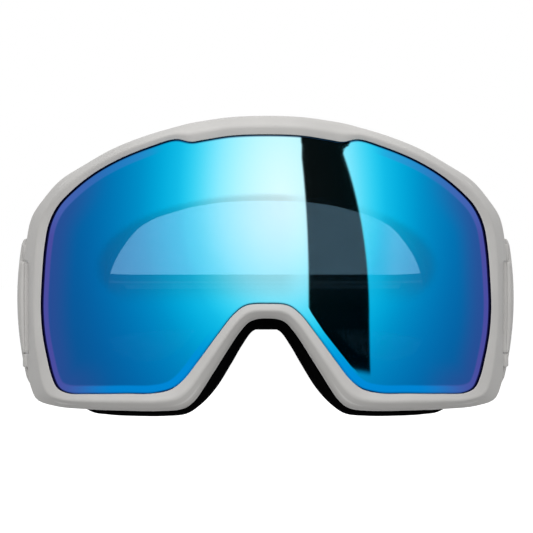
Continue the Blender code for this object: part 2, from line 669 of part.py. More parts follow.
def make_sliders():
    bar_x = FOLD_X + SLIDER_BAR_THICK / 2 + 0.25 + STRAP_THICK / 2
    low, high = STRAP_Z - STRAP_WIDTH / 2 - GAP, STRAP_Z + STRAP_WIDTH / 2 + GAP
    face_x = STRAP_X + STRAP_THICK / 2 + GAP
    inner_x, outer_x = FOLD_X - STRAP_THICK / 2 - 0.4, face_x + SLIDER_FACE
    body = box("slider_rail_upper", (inner_x, SLIDER_Y[0], high), (outer_x, SLIDER_Y[1], high + SLIDER_RAIL),
               CUTTERS)
    lower = box("slider_rail_lower", (inner_x, SLIDER_Y[0], low - SLIDER_RAIL), (outer_x, SLIDER_Y[1], low),
                CUTTERS)
    combine(body, lower, "UNION")
    span = (low - SLIDER_RAIL / 2, high + SLIDER_RAIL / 2)
    face_inset = 0.4
    face_range = (face_x, outer_x - 0.1)
    front = (SLIDER_Y[0] + face_inset, SLIDER_Y[0] + face_inset + SLIDER_FACE_WIDTH)
    rear = (SLIDER_Y[1] - face_inset - SLIDER_FACE_WIDTH, SLIDER_Y[1] - face_inset)
    middle_range = (bar_x - SLIDER_BAR_THICK / 2, bar_x + SLIDER_BAR_THICK / 2)
    bars = (("front", face_range, front), ("rear", face_range, rear), ("middle", middle_range, SLIDER_BAR_Y))
    for name, x_range, y_range in bars:
        bar = box(f"slider_bar_{name}", (x_range[0], y_range[0], span[0]), (x_range[1], y_range[1], span[1]),
                  CUTTERS)
        combine(body, bar, "UNION")
    both_sides(body, "slider", DARK_PLASTIC)
    turn_y = SLIDER_BAR_Y[1] + 0.1
    back_x = 2 * bar_x - FOLD_X
    path = [(FOLD_X, SLIDER_Y[0]), (FOLD_X, turn_y)]
    path += reversed(u_turn(back_x, FOLD_X, turn_y, False))
    path += [(back_x, turn_y), (back_x, SLIDER_Y[0] + 1.0)]
    both_sides(ribbon("strap_end", WEBBING, [(x, y, STRAP_Z) for x, y in path]), "strap_end", WEBBING)


# ---------------------------------------------------------------- the whole
clear_scene()
PARTS = new_collection("ski_goggles")
CUTTERS = new_collection("cutters")

GREY = material("grey_shell", (0.50, 0.49, 0.475), 0.45)
MIRROR_BLUE = material("mirror_lens", (0.02, 0.35, 0.80), 0.05, 0.9)
CLEAR = material("clear_lens", (0.55, 0.58, 0.62), 0.08)
DARK_PLASTIC = material("dark_plastic", (0.012, 0.012, 0.013), 0.5)
STEEL = material("steel", (0.55, 0.55, 0.56), 0.3, 1.0)
FOAM_DARK = material("open_cell_foam", (0.010, 0.010, 0.011), 0.95)
FOAM_SOFT = material("soft_foam", (0.014, 0.014, 0.015), 0.95)
FLEECE = material("fleece", (0.006, 0.006, 0.007), 1.0)
WEBBING = material("webbing", (0.012, 0.012, 0.014), 0.85)
SILICONE = material("silicone", (0.03, 0.03, 0.035), 0.4)

make_frame()
lens_sheet("lens_outer", MIRROR_BLUE, LENS_OVERLAP, 0.0, LENS_THICK)
ring("lens_spacer", FOAM_DARK, spacer_section)
lens_sheet("lens_inner", CLEAR, 0.7, LENS_THICK + SPACER_DEPTH + 2 * GAP, INNER_LENS_THICK, 18, 4)
ring("face_plate", DARK_PLASTIC, plate_section)
make_foam()
make_vent_foam()
make_outriggers()
make_strap()
make_sliders()
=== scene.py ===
"""Looks of the ski goggles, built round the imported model.

Lengths are in millimetres and become metres where a mesh is made, but the floor and lamps are placed in
metres. The origin and axes are the model's own: X runs across the goggles, Z up and Y from the lens
towards the head.
"""
import math

import bmesh
import bpy
import numpy as np
from mathutils import Matrix, Vector


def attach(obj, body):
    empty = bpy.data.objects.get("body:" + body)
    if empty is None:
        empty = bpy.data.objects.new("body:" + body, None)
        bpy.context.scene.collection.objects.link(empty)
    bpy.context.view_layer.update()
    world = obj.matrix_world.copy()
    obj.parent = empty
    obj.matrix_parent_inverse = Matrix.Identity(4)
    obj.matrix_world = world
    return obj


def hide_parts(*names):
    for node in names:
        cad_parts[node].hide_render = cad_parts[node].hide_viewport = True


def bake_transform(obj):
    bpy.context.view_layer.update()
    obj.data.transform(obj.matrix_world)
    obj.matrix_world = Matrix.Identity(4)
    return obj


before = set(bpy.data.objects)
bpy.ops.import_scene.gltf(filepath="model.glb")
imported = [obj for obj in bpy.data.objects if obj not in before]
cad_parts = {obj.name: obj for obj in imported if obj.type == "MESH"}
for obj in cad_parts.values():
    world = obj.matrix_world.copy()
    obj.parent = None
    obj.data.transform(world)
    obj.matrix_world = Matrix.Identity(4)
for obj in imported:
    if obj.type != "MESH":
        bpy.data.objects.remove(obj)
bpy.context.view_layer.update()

MM = 0.001

# ---------------------------------------------------------------- dimensions shared with the model
SEAL_DEPTH = 40.0
LENS_RADIUS = 110.0
LENS_SIDE_RADIUS = 420.0
FACE_RADIUS = 78.0
REAR_CENTRE = -15.0
REAR_WRAP = 38.0
REAR_WRAP_AT = 86.0
GAP = 0.3

RIM_LIP = 0.6
RIM_CREST = 2.2
CREST_SHARE = 0.43
SHOULDER_SHARE = 0.86
SHOULDER_DROP = 0.6
SIDE_DROP = 2.6
WALL = 2.0
TEMPLE_WALL = 4.1

LENS_OVERLAP = 1.2
LENS_THICK = 1.4
SPACER_DEPTH = 4.0
INNER_LENS_THICK = 0.9

PLATE_THICK = 1.8
PLATE_SPIGOT = 7.0
PLATE_OPENING = 0.45
FOAM_SPLITS = (0.0, 0.40, 0.86, 1.0)
FOAM_GAP = 0.6

VENT_FOAM_THICK = 2.2
VENT_FOAM_DEPTH = 6.4
VENT_FOAM_END_X = 66.0
VENT_FOAM_LOWER_X = 32.0
VENT_SLOT = (12.0, 5.0)
VENT_UPPER_X = (9.0, 27.0, 45.0, 61.0)
VENT_LOWER_X = (40.0, 58.0)

HINGE_X = 85.4
HINGE_Y = 7.4
PIN_RADIUS = 0.9
PIN_HOLE_RADIUS = 1.2
KNUCKLE_RADIUS = 1.9
KNUCKLE_Z = (-30.9, 1.7)
LUG_UPPER_Z = (2.0, 8.0)
LUG_LOWER_Z = (-36.0, -31.2)
PIN_Z = (-35.6, 7.4)
RECESS_X = 83.2
RECESS_Y = 4.6
RECESS_Z = (-43.4, 11.0)
NOTCH_X = 84.6
NOTCH_Y = -6.0

ARM_Y = 10.2
ARM_Z = (-42.3, 10.1)
ARM_TAPER = 3.4
ARM_INNER_X = (83.8, 86.8)
CROWN_X = 89.85
CROWN_Z = -11.5
BARREL = 0.0042

STRAP_WIDTH = 38.0
STRAP_THICK = 1.2
STRAP_Z = -16.2
STRAP_REAR_Z = -16.8
STRAP_LEAN = 48.0
STRAP_X = 90.1
FOLD_X = 85.9
BAR_Y = (40.0, 44.0)
BAR_THICK = 2.4
BAR_Z = (-38.0, 5.6)
WINDOW_Y = (35.5, 60.0)
STRAIGHT_END_Y = 132.0
STRAP_REAR_Y = 205.0
STRAP_FLAT_X = 22.0
GRIP_WIDTH = 3.0
GRIP_THICK = 0.6
GRIP_SHIFT = 9.0

SLIDER_Y = (84.0, 100.0)
SLIDER_BAR_Y = (91.0, 94.0)
SLIDER_BAR_THICK = 0.8
SLIDER_RAIL = 2.5
SLIDER_FACE = 1.4
SLIDER_FACE_WIDTH = 3.0

# Matching stations down the +X half, from the top centre round the temple to the bridge of the nose.
# Each row: the lens's visible edge, the frame's outer edge, the face foam's outer edge and its opening.
STATIONS = (
    ((0.0, 43.9), (0.0, 50.5), (0.0, 48.0), (0.0, 23.3)),
    ((12.0, 43.5), (12.0, 50.1), (12.0, 47.6), (10.0, 23.1)),
    ((21.0, 42.2), (21.0, 49.0), (21.0, 46.6), (17.0, 22.6)),
    ((25.4, 41.6), (26.0, 48.2), (26.0, 45.6), (21.5, 22.0)),
    ((30.5, 42.6), (31.5, 46.9), (31.0, 44.2), (26.3, 21.2)),
    ((39.0, 40.4), (40.5, 44.5), (39.5, 41.7), (32.5, 19.6)),
    ((50.0, 36.4), (52.3, 40.4), (50.0, 37.4), (39.8, 17.3)),
    ((59.6, 31.5), (63.2, 35.0), (58.5, 32.4), (45.8, 14.0)),
    ((67.4, 25.9), (72.2, 30.0), (65.5, 26.5), (50.4, 9.2)),
    ((72.6, 20.9), (78.4, 24.0), (70.5, 20.0), (54.1, 3.9)),
    ((75.9, 14.9), (83.4, 17.5), (74.0, 12.5), (56.6, -1.4)),
    ((77.6, 6.9), (85.7, 8.0), (75.9, 4.0), (58.0, -7.0)),
    ((78.7, -5.0), (86.1, -5.0), (76.9, -6.0), (59.0, -12.0)),
    ((79.1, -15.0), (86.2, -16.0), (77.3, -16.0), (59.3, -17.5)),
    ((78.4, -24.0), (85.9, -27.0), (76.9, -27.0), (58.8, -23.0)),
    ((76.8, -31.9), (85.2, -36.0), (75.9, -36.0), (57.3, -27.5)),
    ((74.9, -38.7), (84.3, -42.5), (73.7, -44.0), (55.5, -30.8)),
    ((72.8, -42.4), (81.4, -47.5), (70.3, -50.1), (52.5, -32.8)),
    ((69.0, -43.9), (74.2, -49.1), (64.4, -53.5), (49.0, -33.9)),
    ((60.0, -43.7), (62.3, -49.4), (57.3, -54.4), (45.5, -34.3)),
    ((48.0, -43.1), (48.0, -49.2), (47.0, -54.3), (42.0, -34.3)),
    ((38.3, -42.7), (36.0, -48.9), (36.5, -53.8), (38.2, -33.7)),
    ((32.2, -41.2), (28.5, -48.0), (28.5, -52.7), (34.6, -32.2)),
    ((28.0, -38.0), (24.4, -45.3), (23.5, -49.4), (31.2, -29.8)),
    ((22.5, -31.0), (18.5, -36.5), (17.8, -43.3), (26.4, -24.6)),
    ((16.4, -22.7), (13.3, -28.2), (12.2, -34.3), (20.5, -18.8)),
    ((11.0, -15.9), (9.0, -21.8), (8.6, -28.1), (14.8, -14.0)),
    ((7.0, -13.0), (5.6, -18.3), (5.0, -23.1), (8.7, -10.8)),
    ((0.0, -12.4), (0.0, -17.3), (0.0, -22.0), (0.0, -9.8)),
)
RING_STATIONS = 210

# ---------------------------------------------------------------- the surface's own dimensions
LENS_CENTRE = (0.0, 8.0)   # the lens's surface is laid out in rings about this point
LENS_ROLL = 3.1            # width of the rolled band inside the lens's visible edge
LENS_ROLL_DROP = 0.15      # how far that band falls back
NOSE_ROLL_DROP = 0.42      # and how far it falls back beside the nose
NOSE_ROLL_X = 40.0         # the deeper roll ends this far from the middle plane
# centre of the painted softbox reflection in the lens's colour
PAINTED_GLARE_CENTRE = (5.0, 20.0)
WINDOW_REACH = (54.0, 22.5)  # half width and height of the part of the lens that lets most light through

STRAP_STEP = 1.2           # spacing of the webbing's sections
WEBBING_CORDS = 11         # raised cords along the webbing
BLEND_Y = (44.0, 74.0)     # the webbing's band starts at the far end of this span, where the loop and the fold end

FLOOR_Z = -170.0
CAMERA_DISTANCE = 550.0    # from the lens
CAMERA_AZIMUTH = -0.5
CAMERA_SHIFT = -0.2        # off the middle plane
PIXELS_PER_MM = 3.02       # at the lens
IMAGE_WIDTH = 533
SENSOR = 36.0
FLOOR_SIZE = 12.0          # in metres
AMBIENT = (0.11, 0.43)     # light from straight below and from straight above
SOFTBOX_LIGHT = 1.08
GAP_LIGHT = 0.005
GAP_BOTTOM = -12.6         # these four are in degrees of the mirrored direction
GAP_LEVEL = 13.5           # the gap's sides run straight above this height
GAP_LEFT = (16.0, -2.5, 0.0110)   # its widest angle, the height of that, and how fast it bows in above
GAP_RIGHT = (40.6, -5.0, 0.0317)
GAP_SOFTNESS = 1.6
LAMPS = (
    # name, place, aim, size, power
    ("overhead", (0.0, -0.25, 1.1), (0, 0.02, 0), (1.1, 0.9), 6.0),
    ("front_left", (-0.35, -1.3, 0.30), (0, 0, 0), (0.9, 0.9), 9.2),
    ("front_right", (0.45, -1.3, 0.10), (0, 0, 0), (0.7, 0.9), 6.8),
    ("rear", (0.2, 1.3, 0.9), (0, 0.1, 0), (1.0, 0.8), 6.0),
)


# ---------------------------------------------------------------- outlines and depths
def lens_y(x, z):
    """Depth of the lens's front surface."""
    across = LENS_RADIUS - math.sqrt(LENS_RADIUS**2 - x * x)
    upward = LENS_SIDE_RADIUS - math.sqrt(LENS_SIDE_RADIUS**2 - z * z)
    return across + upward - SEAL_DEPTH


def behind_lens(x, z, distance):
    """Depth of the surface that runs behind the lens's front, at a distance measured square to it."""
    return lens_y(x, z) + distance * LENS_RADIUS / math.sqrt(LENS_RADIUS**2 - x * x)


def rear_y(x):
    """Depth of the frame's rear edge."""
    return REAR_CENTRE + REAR_WRAP * (x / REAR_WRAP_AT) ** 2


def seal_y(x):
    """Depth of the surface that rests on the face."""
    return x * x / (2 * FACE_RADIUS)


def smooth_step(value, low, high):
    share = min(max((value - low) / (high - low), 0.0), 1.0)
    return share * share * (3 - 2 * share)


def smooth_stations(count):
    """The stations on smooth curves, at even steps along the lens's edge, as four lists of points."""
    rows = np.array(STATIONS, float).reshape(len(STATIONS), 8)
    mirror = np.array([-1, 1] * 4)
    rows = np.vstack([rows[1] * mirror, rows, rows[-2] * mirror])
    steps = np.sqrt(np.linalg.norm(np.diff(rows[:, :2], axis=0), axis=1))
    dense = []
    for i in range(1, len(rows) - 2):
        before, here, after = steps[i - 1], steps[i], steps[i + 1]
        slope = (rows[i + 1] - rows[i]) / here
        start = (slope * before + (rows[i] - rows[i - 1]) / before * here) / (before + here)
        end = (slope * after + (rows[i + 2] - rows[i + 1]) / after * here) / (after + here)
        for t in np.linspace(0, 1, 24, endpoint=i == len(rows) - 3):
            a = 2 * t**3 - 3 * t**2 + 1
            b = t**3 - 2 * t**2 + t
            c = t**3 - t**2
            dense.append(a * rows[i] + b * here * start + (1 - a) * rows[i + 1] + c * here * end)
    dense = np.array(dense)
    along = np.concatenate([[0], np.cumsum(np.linalg.norm(np.diff(dense[:, :2], axis=0), axis=1))])
    even = np.linspace(0, along[-1], count)
    fine = np.column_stack([np.interp(even, along, dense[:, k]) for k in range(8)])
    return [fine[:, 2 * k:2 * k + 2] for k in range(4)]


LENS_EDGE, FRAME_EDGE, FOAM_EDGE, FOAM_OPENING = smooth_stations(RING_STATIONS)


def rim_width(i):
    return float(np.linalg.norm(FRAME_EDGE[i] - LENS_EDGE[i]))


def rim_point(i, distance):
    """The point that lies a distance outward from the lens's edge, at a station."""
    return LENS_EDGE[i] + (FRAME_EDGE[i] - LENS_EDGE[i]) / rim_width(i) * distance


def temple_share(i):
    """1 at the temples, where the frame holds the outriggers, and 0 over the rest of it."""
    return smooth_step(FRAME_EDGE[i][0], 72, 82)


def wall_distance(i):
    """How far the frame's inner wall is from the lens's edge."""
    return rim_width(i) - WALL - (TEMPLE_WALL - WALL) * temple_share(i)


def at_depth(flat, depth):
    """A point of an outline, set at a depth."""
    return [float(flat[0]), float(depth), float(flat[1])]


# ---------------------------------------------------------------- mesh helpers
PIECES = bpy.data.collections.new("ski_goggles_looks")
bpy.context.scene.collection.children.link(PIECES)


def rounded(corners, radii, steps=4):
    """A closed outline with its corners rounded, each to steps + 1 points."""
    corners = np.array(corners, float)
    points = []
    for k, corner in enumerate(corners):
        before = corners[k - 1] - corner
        after = corners[(k + 1) % len(corners)] - corner
        long_before, long_after = np.linalg.norm(before), np.linalg.norm(after)
        reach = min(radii[k], 0.45 * long_before, 0.45 * long_after)
        start, end = corner + before / long_before * reach, corner + after / long_after * reach
        for t in np.linspace(0, 1, steps + 1):
            points.append(start * (1 - t) ** 2 + corner * 2 * t * (1 - t) + end * t * t)
    return points


def skin(name, rings, loop=False, uv=None):
    """A closed mesh in metres through rings of points; with loop, its last ring joins its first.

    uv gives each ring's points a pair of numbers, kept as the UV map that the cloth patterns read.
    """
    rings = np.array(rings, float)
    count, size = rings.shape[:2]
    index = np.arange(count * size).reshape(count, size)
    near, far = (index, np.roll(index, -1, axis=0)) if loop else (index[:-1], index[1:])
    quads = np.stack([near, far, np.roll(far, -1, axis=1), np.roll(near, -1, axis=1)], axis=-1)
    faces = quads.reshape(-1, 4).tolist()
    if not loop:
        faces += [index[0].tolist(), index[-1][::-1].tolist()]
    mesh = bpy.data.meshes.new(name)
    mesh.from_pydata((rings.reshape(-1, 3) * MM).tolist(), [], faces)
    if uv is not None:
        flat = np.array(uv, float).reshape(-1, 2)
        corners = np.array([loop_item.vertex_index for loop_item in mesh.loops])
        mesh.uv_layers.new(name="weave").data.foreach_set("uv", flat[corners].ravel())
    face_outward(mesh)
    return mesh


def face_outward(mesh):
    bm = bmesh.new()
    bm.from_mesh(mesh)
    bmesh.ops.recalc_face_normals(bm, faces=bm.faces)
    if bm.calc_volume(signed=True) < 0:
        bmesh.ops.reverse_faces(bm, faces=bm.faces)
    bm.to_mesh(mesh)
    bm.free()


def ring_rings(section_at):
    """Sections all the way round, from those of the +X half."""
    half = np.array([section_at(i) for i in range(RING_STATIONS)], float)
    half[[0, -1], :, 0] = 0.0
    other = half[-2:0:-1] * np.array([-1.0, 1.0, 1.0])
    return np.concatenate([half, other])


def new_object(name, mesh):
    made = bpy.data.objects.new(name, mesh)
    PIECES.objects.link(made)
    return made


def finish_piece(name, mesh, look, nodes, smooth=35):
    """A shown piece that stands for CAD nodes; the caller says what it moves with."""
    if look:
        mesh.materials.clear()
        mesh.materials.append(look)
    mesh.shade_smooth()
    mesh.set_sharp_from_angle(angle=math.radians(smooth))
    made = new_object(name, mesh)
    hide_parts(*nodes)
    return made


def mirrored(mesh, name):
    """A mirrored copy across the symmetry plane."""
    copy = mesh.copy()
    copy.name = name
    copy.transform(Matrix.Diagonal((-1, 1, 1, 1)))
    copy.flip_normals()
    return copy


def both_sides(mesh, name):
    """The side, its sign of X and its mesh, for a mesh of the right side and its mirror image."""
    return ("right", 1, mesh), ("left", -1, mirrored(mesh, f"{name}_left"))


def outline_prism(name, outline, levels):
    """A closed prism over an outline of (x, y) points that run anticlockwise.

    levels are (z, grow) pairs from bottom to top; grow moves the outline outward there.
    """
    outline = np.array(outline, float)
    ahead = np.roll(outline, -1, axis=0) - outline
    behind = outline - np.roll(outline, 1, axis=0)
    ahead /= np.linalg.norm(ahead, axis=1)[:, None]
    behind /= np.linalg.norm(behind, axis=1)[:, None]
    along = ahead + behind
    along /= np.linalg.norm(along, axis=1)[:, None]
    outward = np.column_stack([along[:, 1], -along[:, 0]])
    rings = []
    for z, grow in levels:
        flat = outline + outward * grow
        rings.append(np.column_stack([flat, np.full(len(flat), z)]))
    return skin(name, rings)


def soft_prism(name, outline, z_range, edge=0.4):
    """An upright prism with rounded ends."""
    low, high = z_range
    levels = [(low, -edge), (low + edge * 0.3, -edge * 0.3), (low + edge, 0.0)]
    levels += [(high - edge, 0.0), (high - edge * 0.3, -edge * 0.3), (high, -edge)]
    return outline_prism(name, outline, levels)


def soft_box(low, high, radius):
    """A box with rounded edges, as a mesh in metres."""
    bm = bmesh.new()
    size, middle = Vector(high) - Vector(low), (Vector(high) + Vector(low)) / 2
    bmesh.ops.create_cube(bm, size=1.0, matrix=Matrix.Translation(middle) @ Matrix.Diagonal((*size, 1)))
    bmesh.ops.bevel(bm, geom=bm.edges[:], offset=radius, segments=3, profile=0.5, affect="EDGES")
    bmesh.ops.scale(bm, vec=(MM, MM, MM), verts=bm.verts)
    mesh = bpy.data.meshes.new("box")
    bm.to_mesh(mesh)
    bm.free()
    return mesh


def joined(meshes, name="joined"):
    """One mesh that holds copies of several; they don't touch each other."""
    bm = bmesh.new()
    for mesh in meshes:
        bm.from_mesh(mesh)
    result = bpy.data.meshes.new(name)
    bm.to_mesh(result)
    bm.free()
    return result


def combined(mesh, steps, name):
    """The mesh after a row of (operation, mesh) booleans."""
    base = bpy.data.objects.new("combine_base", mesh)
    bpy.context.scene.collection.objects.link(base)
    helpers = []
    for operation, other in steps:
        helper = bpy.data.objects.new("combine_helper", other)
        bpy.context.scene.collection.objects.link(helper)
        helpers.append(helper)
        modifier = base.modifiers.new("Boolean", "BOOLEAN")
        modifier.operation = operation
        modifier.solver = "EXACT"
        modifier.object = helper
    bpy.context.view_layer.update()
    result = bpy.data.meshes.new_from_object(base.evaluated_get(bpy.context.evaluated_depsgraph_get()))
    for thing in [base] + helpers:
        bpy.data.objects.remove(thing)
    result.name = name
    return result


# ---------------------------------------------------------------- material helpers
class Nodes:
    """A node tree, with short ways to add nodes and link them."""

    def __init__(self, tree):
        self.tree = tree

    def node(self, kind, inputs=None, **settings):
        """A node; an input is a value, or a socket that is linked to it."""
        made = self.tree.nodes.new(f"ShaderNode{kind}")
        for key, value in settings.items():
            setattr(made, key, value)
        for key, value in (inputs or {}).items():
            self.feed(made.inputs[key], value)
        return made

    def feed(self, socket, value):
        if isinstance(value, bpy.types.NodeSocket):
            self.tree.links.new(value, socket)
        else:
            socket.default_value = value

    def math(self, operation, a, b=0.0, clamp=False):
        return self.node("Math", {0: a, 1: b}, operation=operation, use_clamp=clamp).outputs[0]

    def product(self, first, *others):
        for other in others:
            first = self.math("MULTIPLY", first, other)
        return first

    def fade(self, value, start, end, to=(0.0, 1.0)):
        """An eased change between the two numbers of to, as the value goes from start to end."""
        inputs = {"Value": value, "From Min": start, "From Max": end, "To Min": to[0], "To Max": to[1]}
        return self.node("MapRange", inputs, interpolation_type="SMOOTHSTEP").outputs[0]


class Look(Nodes):
    """A node material round one principled shader."""

    def __init__(self, name, colour, roughness, metallic=0.0):
        self.material = bpy.data.materials.new(name)
        self.material.use_nodes = True
        super().__init__(self.material.node_tree)
        self.shader = self.tree.nodes["Principled BSDF"]
        self.output = self.tree.nodes["Material Output"]
        self.set("Base Color", rgb(*colour))
        self.set("Roughness", roughness)
        self.set("Metallic", metallic)

    def set(self, socket, value):
        self.shader.inputs[socket].default_value = value

    def drive(self, socket, value):
        self.feed(self.shader.inputs[socket], value)

    def place(self):
        """The surface point in millimetres."""
        point = self.node("TexCoord").outputs["Object"]
        return self.node("VectorMath", {0: point, "Scale": 1 / MM}, operation="SCALE").outputs[0]

    def noise(self, vector, scale, detail=2.0, roughness=0.5):
        inputs = {"Vector": vector, "Scale": scale, "Detail": detail, "Roughness": roughness}
        return self.node("TexNoise", inputs).outputs["Fac"]

    def ramp(self, value, *stops, shape="LINEAR"):
        made = self.node("ValToRGB", {"Fac": value})
        made.color_ramp.interpolation = shape
        elements = made.color_ramp.elements
        while len(elements) < len(stops):
            elements.new(0.5)
        for element, (position, colour) in zip(elements, stops):
            element.position = position
            element.color = colour if isinstance(colour, tuple) else rgb(colour, colour, colour)
        return made.outputs["Color"]

    def mix(self, share, a, b):
        made = self.node("Mix", data_type="RGBA")
        self.feed(made.inputs[0], share)
        self.feed(made.inputs[6], a)
        self.feed(made.inputs[7], b)
        return made.outputs[2]

    def bump(self, height, strength, distance):
        inputs = {"Height": height, "Strength": strength, "Distance": distance * MM}
        return self.node("Bump", inputs).outputs["Normal"]


def rgb(r, g, b):
    return (r, g, b, 1.0)


def grey_shell_look():
    """Satin moulded plastic, light warm grey, with a fine spark-eroded grain and a painted highlight along
    its edges.
    """
    look = Look("grey_shell", (0.50, 0.49, 0.475), 0.45)
    place = look.place()
    slow = look.noise(place, 0.045, 3.0)
    fine = look.noise(place, 2.2, 2.0)
    tone = look.ramp(slow, (0.30, rgb(0.470, 0.462, 0.450)), (0.70, rgb(0.525, 0.516, 0.502)))
    # The colour is painted lighter where the Bevel node's normal turns from the face's: a painted highlight
    # along the rounded edges.
    soft_normal = look.node("Bevel", {"Radius": 0.55 * MM}, samples=4).outputs["Normal"]
    face_normal = look.node("NewGeometry").outputs["Normal"]
    turned = look.node("VectorMath", {0: soft_normal, 1: face_normal}, operation="DOT_PRODUCT")
    edge = look.math("SUBTRACT", 1.0, turned.outputs["Value"])
    painted_edge_highlight = look.ramp(look.math("ADD", edge, look.product(fine, 0.05)), (0.06, 0.0), (0.20, 1.0))
    look.drive("Base Color", look.mix(painted_edge_highlight, tone, rgb(0.60, 0.592, 0.580)))
    look.drive("Roughness", look.ramp(look.math("ADD", look.product(fine, 0.5),
                                                look.product(slow, 0.5)), (0.3, 0.40), (0.7, 0.52)))
    look.drive("Normal", look.bump(fine, 0.35, 0.05))
    look.set("Specular IOR Level", 0.45)
    return look.material


def mirror_look():
    """Blue mirror coating, azure to deep blue, with painted reflections: painted nearly white where a
    softbox's reflection is brightest, violet at the rim, a lighter strip low down and a dark line of painted
    lip shade at the edge.
    """
    look = Look("mirror_lens", (0.02, 0.35, 0.80), 0.035, 1.0)
    parts = look.node("SeparateXYZ", {0: look.place()})
    x, z = parts.outputs["X"], parts.outputs["Z"]
    off_middle = look.math("ABSOLUTE", x)
    # The base colour is painted from nearly white round the centre point given above out to deep blue: a
    # painted reflection of the softboxes over the coating's own blue.
    across = look.math("SUBTRACT", x, PAINTED_GLARE_CENTRE[0])
    upward = look.math("SUBTRACT", z, PAINTED_GLARE_CENTRE[1])
    upward = look.math("ADD", look.product(look.math("MAXIMUM", upward, 0.0), 0.42),
                       look.product(look.math("MINIMUM", upward, 0.0), 0.74))
    squares = look.math("ADD", look.product(across, across), look.product(upward, upward))
    from_painted_glare = look.math("DIVIDE", look.math("SQRT", squares), 100.0)
    coat_and_painted_glare = look.ramp(from_painted_glare, (0.04, rgb(0.66, 0.93, 0.985)), (0.13, rgb(0.46, 0.88, 0.97)),
                     (0.21, rgb(0.25, 0.80, 0.96)), (0.28, rgb(0.035, 0.64, 0.87)),
                     (0.35, rgb(0.0, 0.48, 0.77)), (0.48, rgb(0.0, 0.235, 0.52)),
                     (0.64, rgb(0.0, 0.125, 0.375)), (0.80, rgb(0.003, 0.078, 0.27)), shape="B_SPLINE")

    inside = look.node("Attribute", attribute_name="edge_distance").outputs["Fac"]
    inward = look.math("DIVIDE", inside, 16.0, clamp=True)

    def near_edge(*stops):
        return look.ramp(inward, *stops, shape="EASE")

    # Painted light along the lens's edge: at the sides a wide violet shift and a narrow violet line are
    # painted reflections, low down a lighter blue strip is a painted highlight, at the upper corners a blue
    # strip is a painted reflection.
    side = look.fade(off_middle, 50.0, 76.0)
    low = look.fade(z, -18.0, -36.0)
    high = look.fade(z, 8.0, 22.0)
    beyond = look.fade(off_middle, 34.0, 44.0)
    painted_side_reflection = look.product(near_edge((0.18, 1.0), (0.85, 0.0)), side)
    painted_violet_rim = look.product(near_edge((0.165, 1.0), (0.205, 0.0)), side)
    painted_lower_highlight = look.product(near_edge((0.15, 1.0), (0.20, 0.0)), low, look.math("SUBTRACT", 1.0, side))
    painted_corner_reflection = look.product(near_edge((0.0, 0.0), (0.05, 1.0), (0.17, 1.0), (0.21, 0.0)), high, beyond)
    # The last, darkest line right inside the edge is painted shade, the dark reflection of the frame's lip;
    # it is painted stronger towards the top.
    depth = look.node("MapRange", {"Value": high, "To Min": 0.28, "To Max": 0.90}).outputs[0]
    body = coat_and_painted_glare
    for area, strength, colour in (
        (painted_side_reflection, 0.62, rgb(0.030, 0.062, 0.27)),
        (painted_violet_rim, 0.70, rgb(0.085, 0.070, 0.34)),
        (painted_lower_highlight, 0.70, rgb(0.0, 0.25, 0.70)),
        (painted_corner_reflection, 0.36, rgb(0.045, 0.180, 0.56)),
        (near_edge((0.020, 1.0), (0.062, 0.0)), depth, rgb(0.003, 0.018, 0.11)),
    ):
        body = look.mix(look.product(area, strength), body, colour)
    look.drive("Base Color", body)
    look.set("Specular Tint", rgb(0.55, 0.45, 1.0))

    # The coating lets some light through across the middle, and less where the dark gap is mirrored.
    wide = look.math("POWER", look.math("DIVIDE", off_middle, WINDOW_REACH[0]), 2.0)
    tall = look.math("POWER", look.math("DIVIDE", look.math("ABSOLUTE", z), WINDOW_REACH[1]), 2.0)
    within = look.fade(look.math("ADD", wide, tall), 1.22, 1.02)
    from_gap = look.math("ABSOLUTE", look.math("SUBTRACT", x, 24.0))
    clarity = look.fade(from_gap, 12.0, 20.0, (0.095, 0.24))
    through = look.product(look.fade(z, -14.0, -4.0), within, clarity)
    look.drive("Alpha", look.math("SUBTRACT", 0.995, through))
    return look.material


def clear_look(name, tint, gloss_roughness):
    """A clear pane: tinted where it is looked through, with a gloss at its surface."""
    look = Look(name, (0.8, 0.85, 0.9), gloss_roughness)
    smudge = look.noise(look.place(), 0.12, 3.0)
    look.drive("Roughness", look.ramp(smudge, (0.35, gloss_roughness), (0.75, gloss_roughness + 0.10)))
    clear = look.node("BsdfTransparent", {"Color": rgb(*tint)}).outputs[0]
    facing = look.node("Fresnel", {"IOR": 1.45}).outputs[0]
    mixed = look.node("MixShader", {0: facing, 1: clear, 2: look.shader.outputs[0]}).outputs[0]
    look.tree.links.new(mixed, look.output.inputs["Surface"])
    return look.material


def dark_plastic_look():
    look = Look("dark_plastic", (0.012, 0.012, 0.013), 0.5)
    place = look.place()
    fine, slow = look.noise(place, 3.0, 2.0), look.noise(place, 0.15, 3.0)
    dark, light = rgb(0.007, 0.007, 0.008), rgb(0.012, 0.012, 0.013)
    look.drive("Base Color", look.ramp(slow, (0.3, dark), (0.7, light)))
    look.drive("Roughness", look.ramp(fine, (0.3, 0.42), (0.7, 0.60)))
    look.drive("Normal", look.bump(fine, 0.4, 0.06))
    return look.material


def steel_look():
    look = Look("steel", (0.55, 0.55, 0.56), 0.3, 1.0)
    stretched = look.node("VectorMath", {0: look.place(), 1: (6.0, 6.0, 0.4)}, operation="MULTIPLY")
    lines = look.noise(stretched.outputs[0], 1.0, 3.0)
    look.drive("Roughness", look.ramp(lines, (0.3, 0.22), (0.7, 0.42)))
    look.drive("Normal", look.bump(lines, 0.15, 0.02))
    return look.material


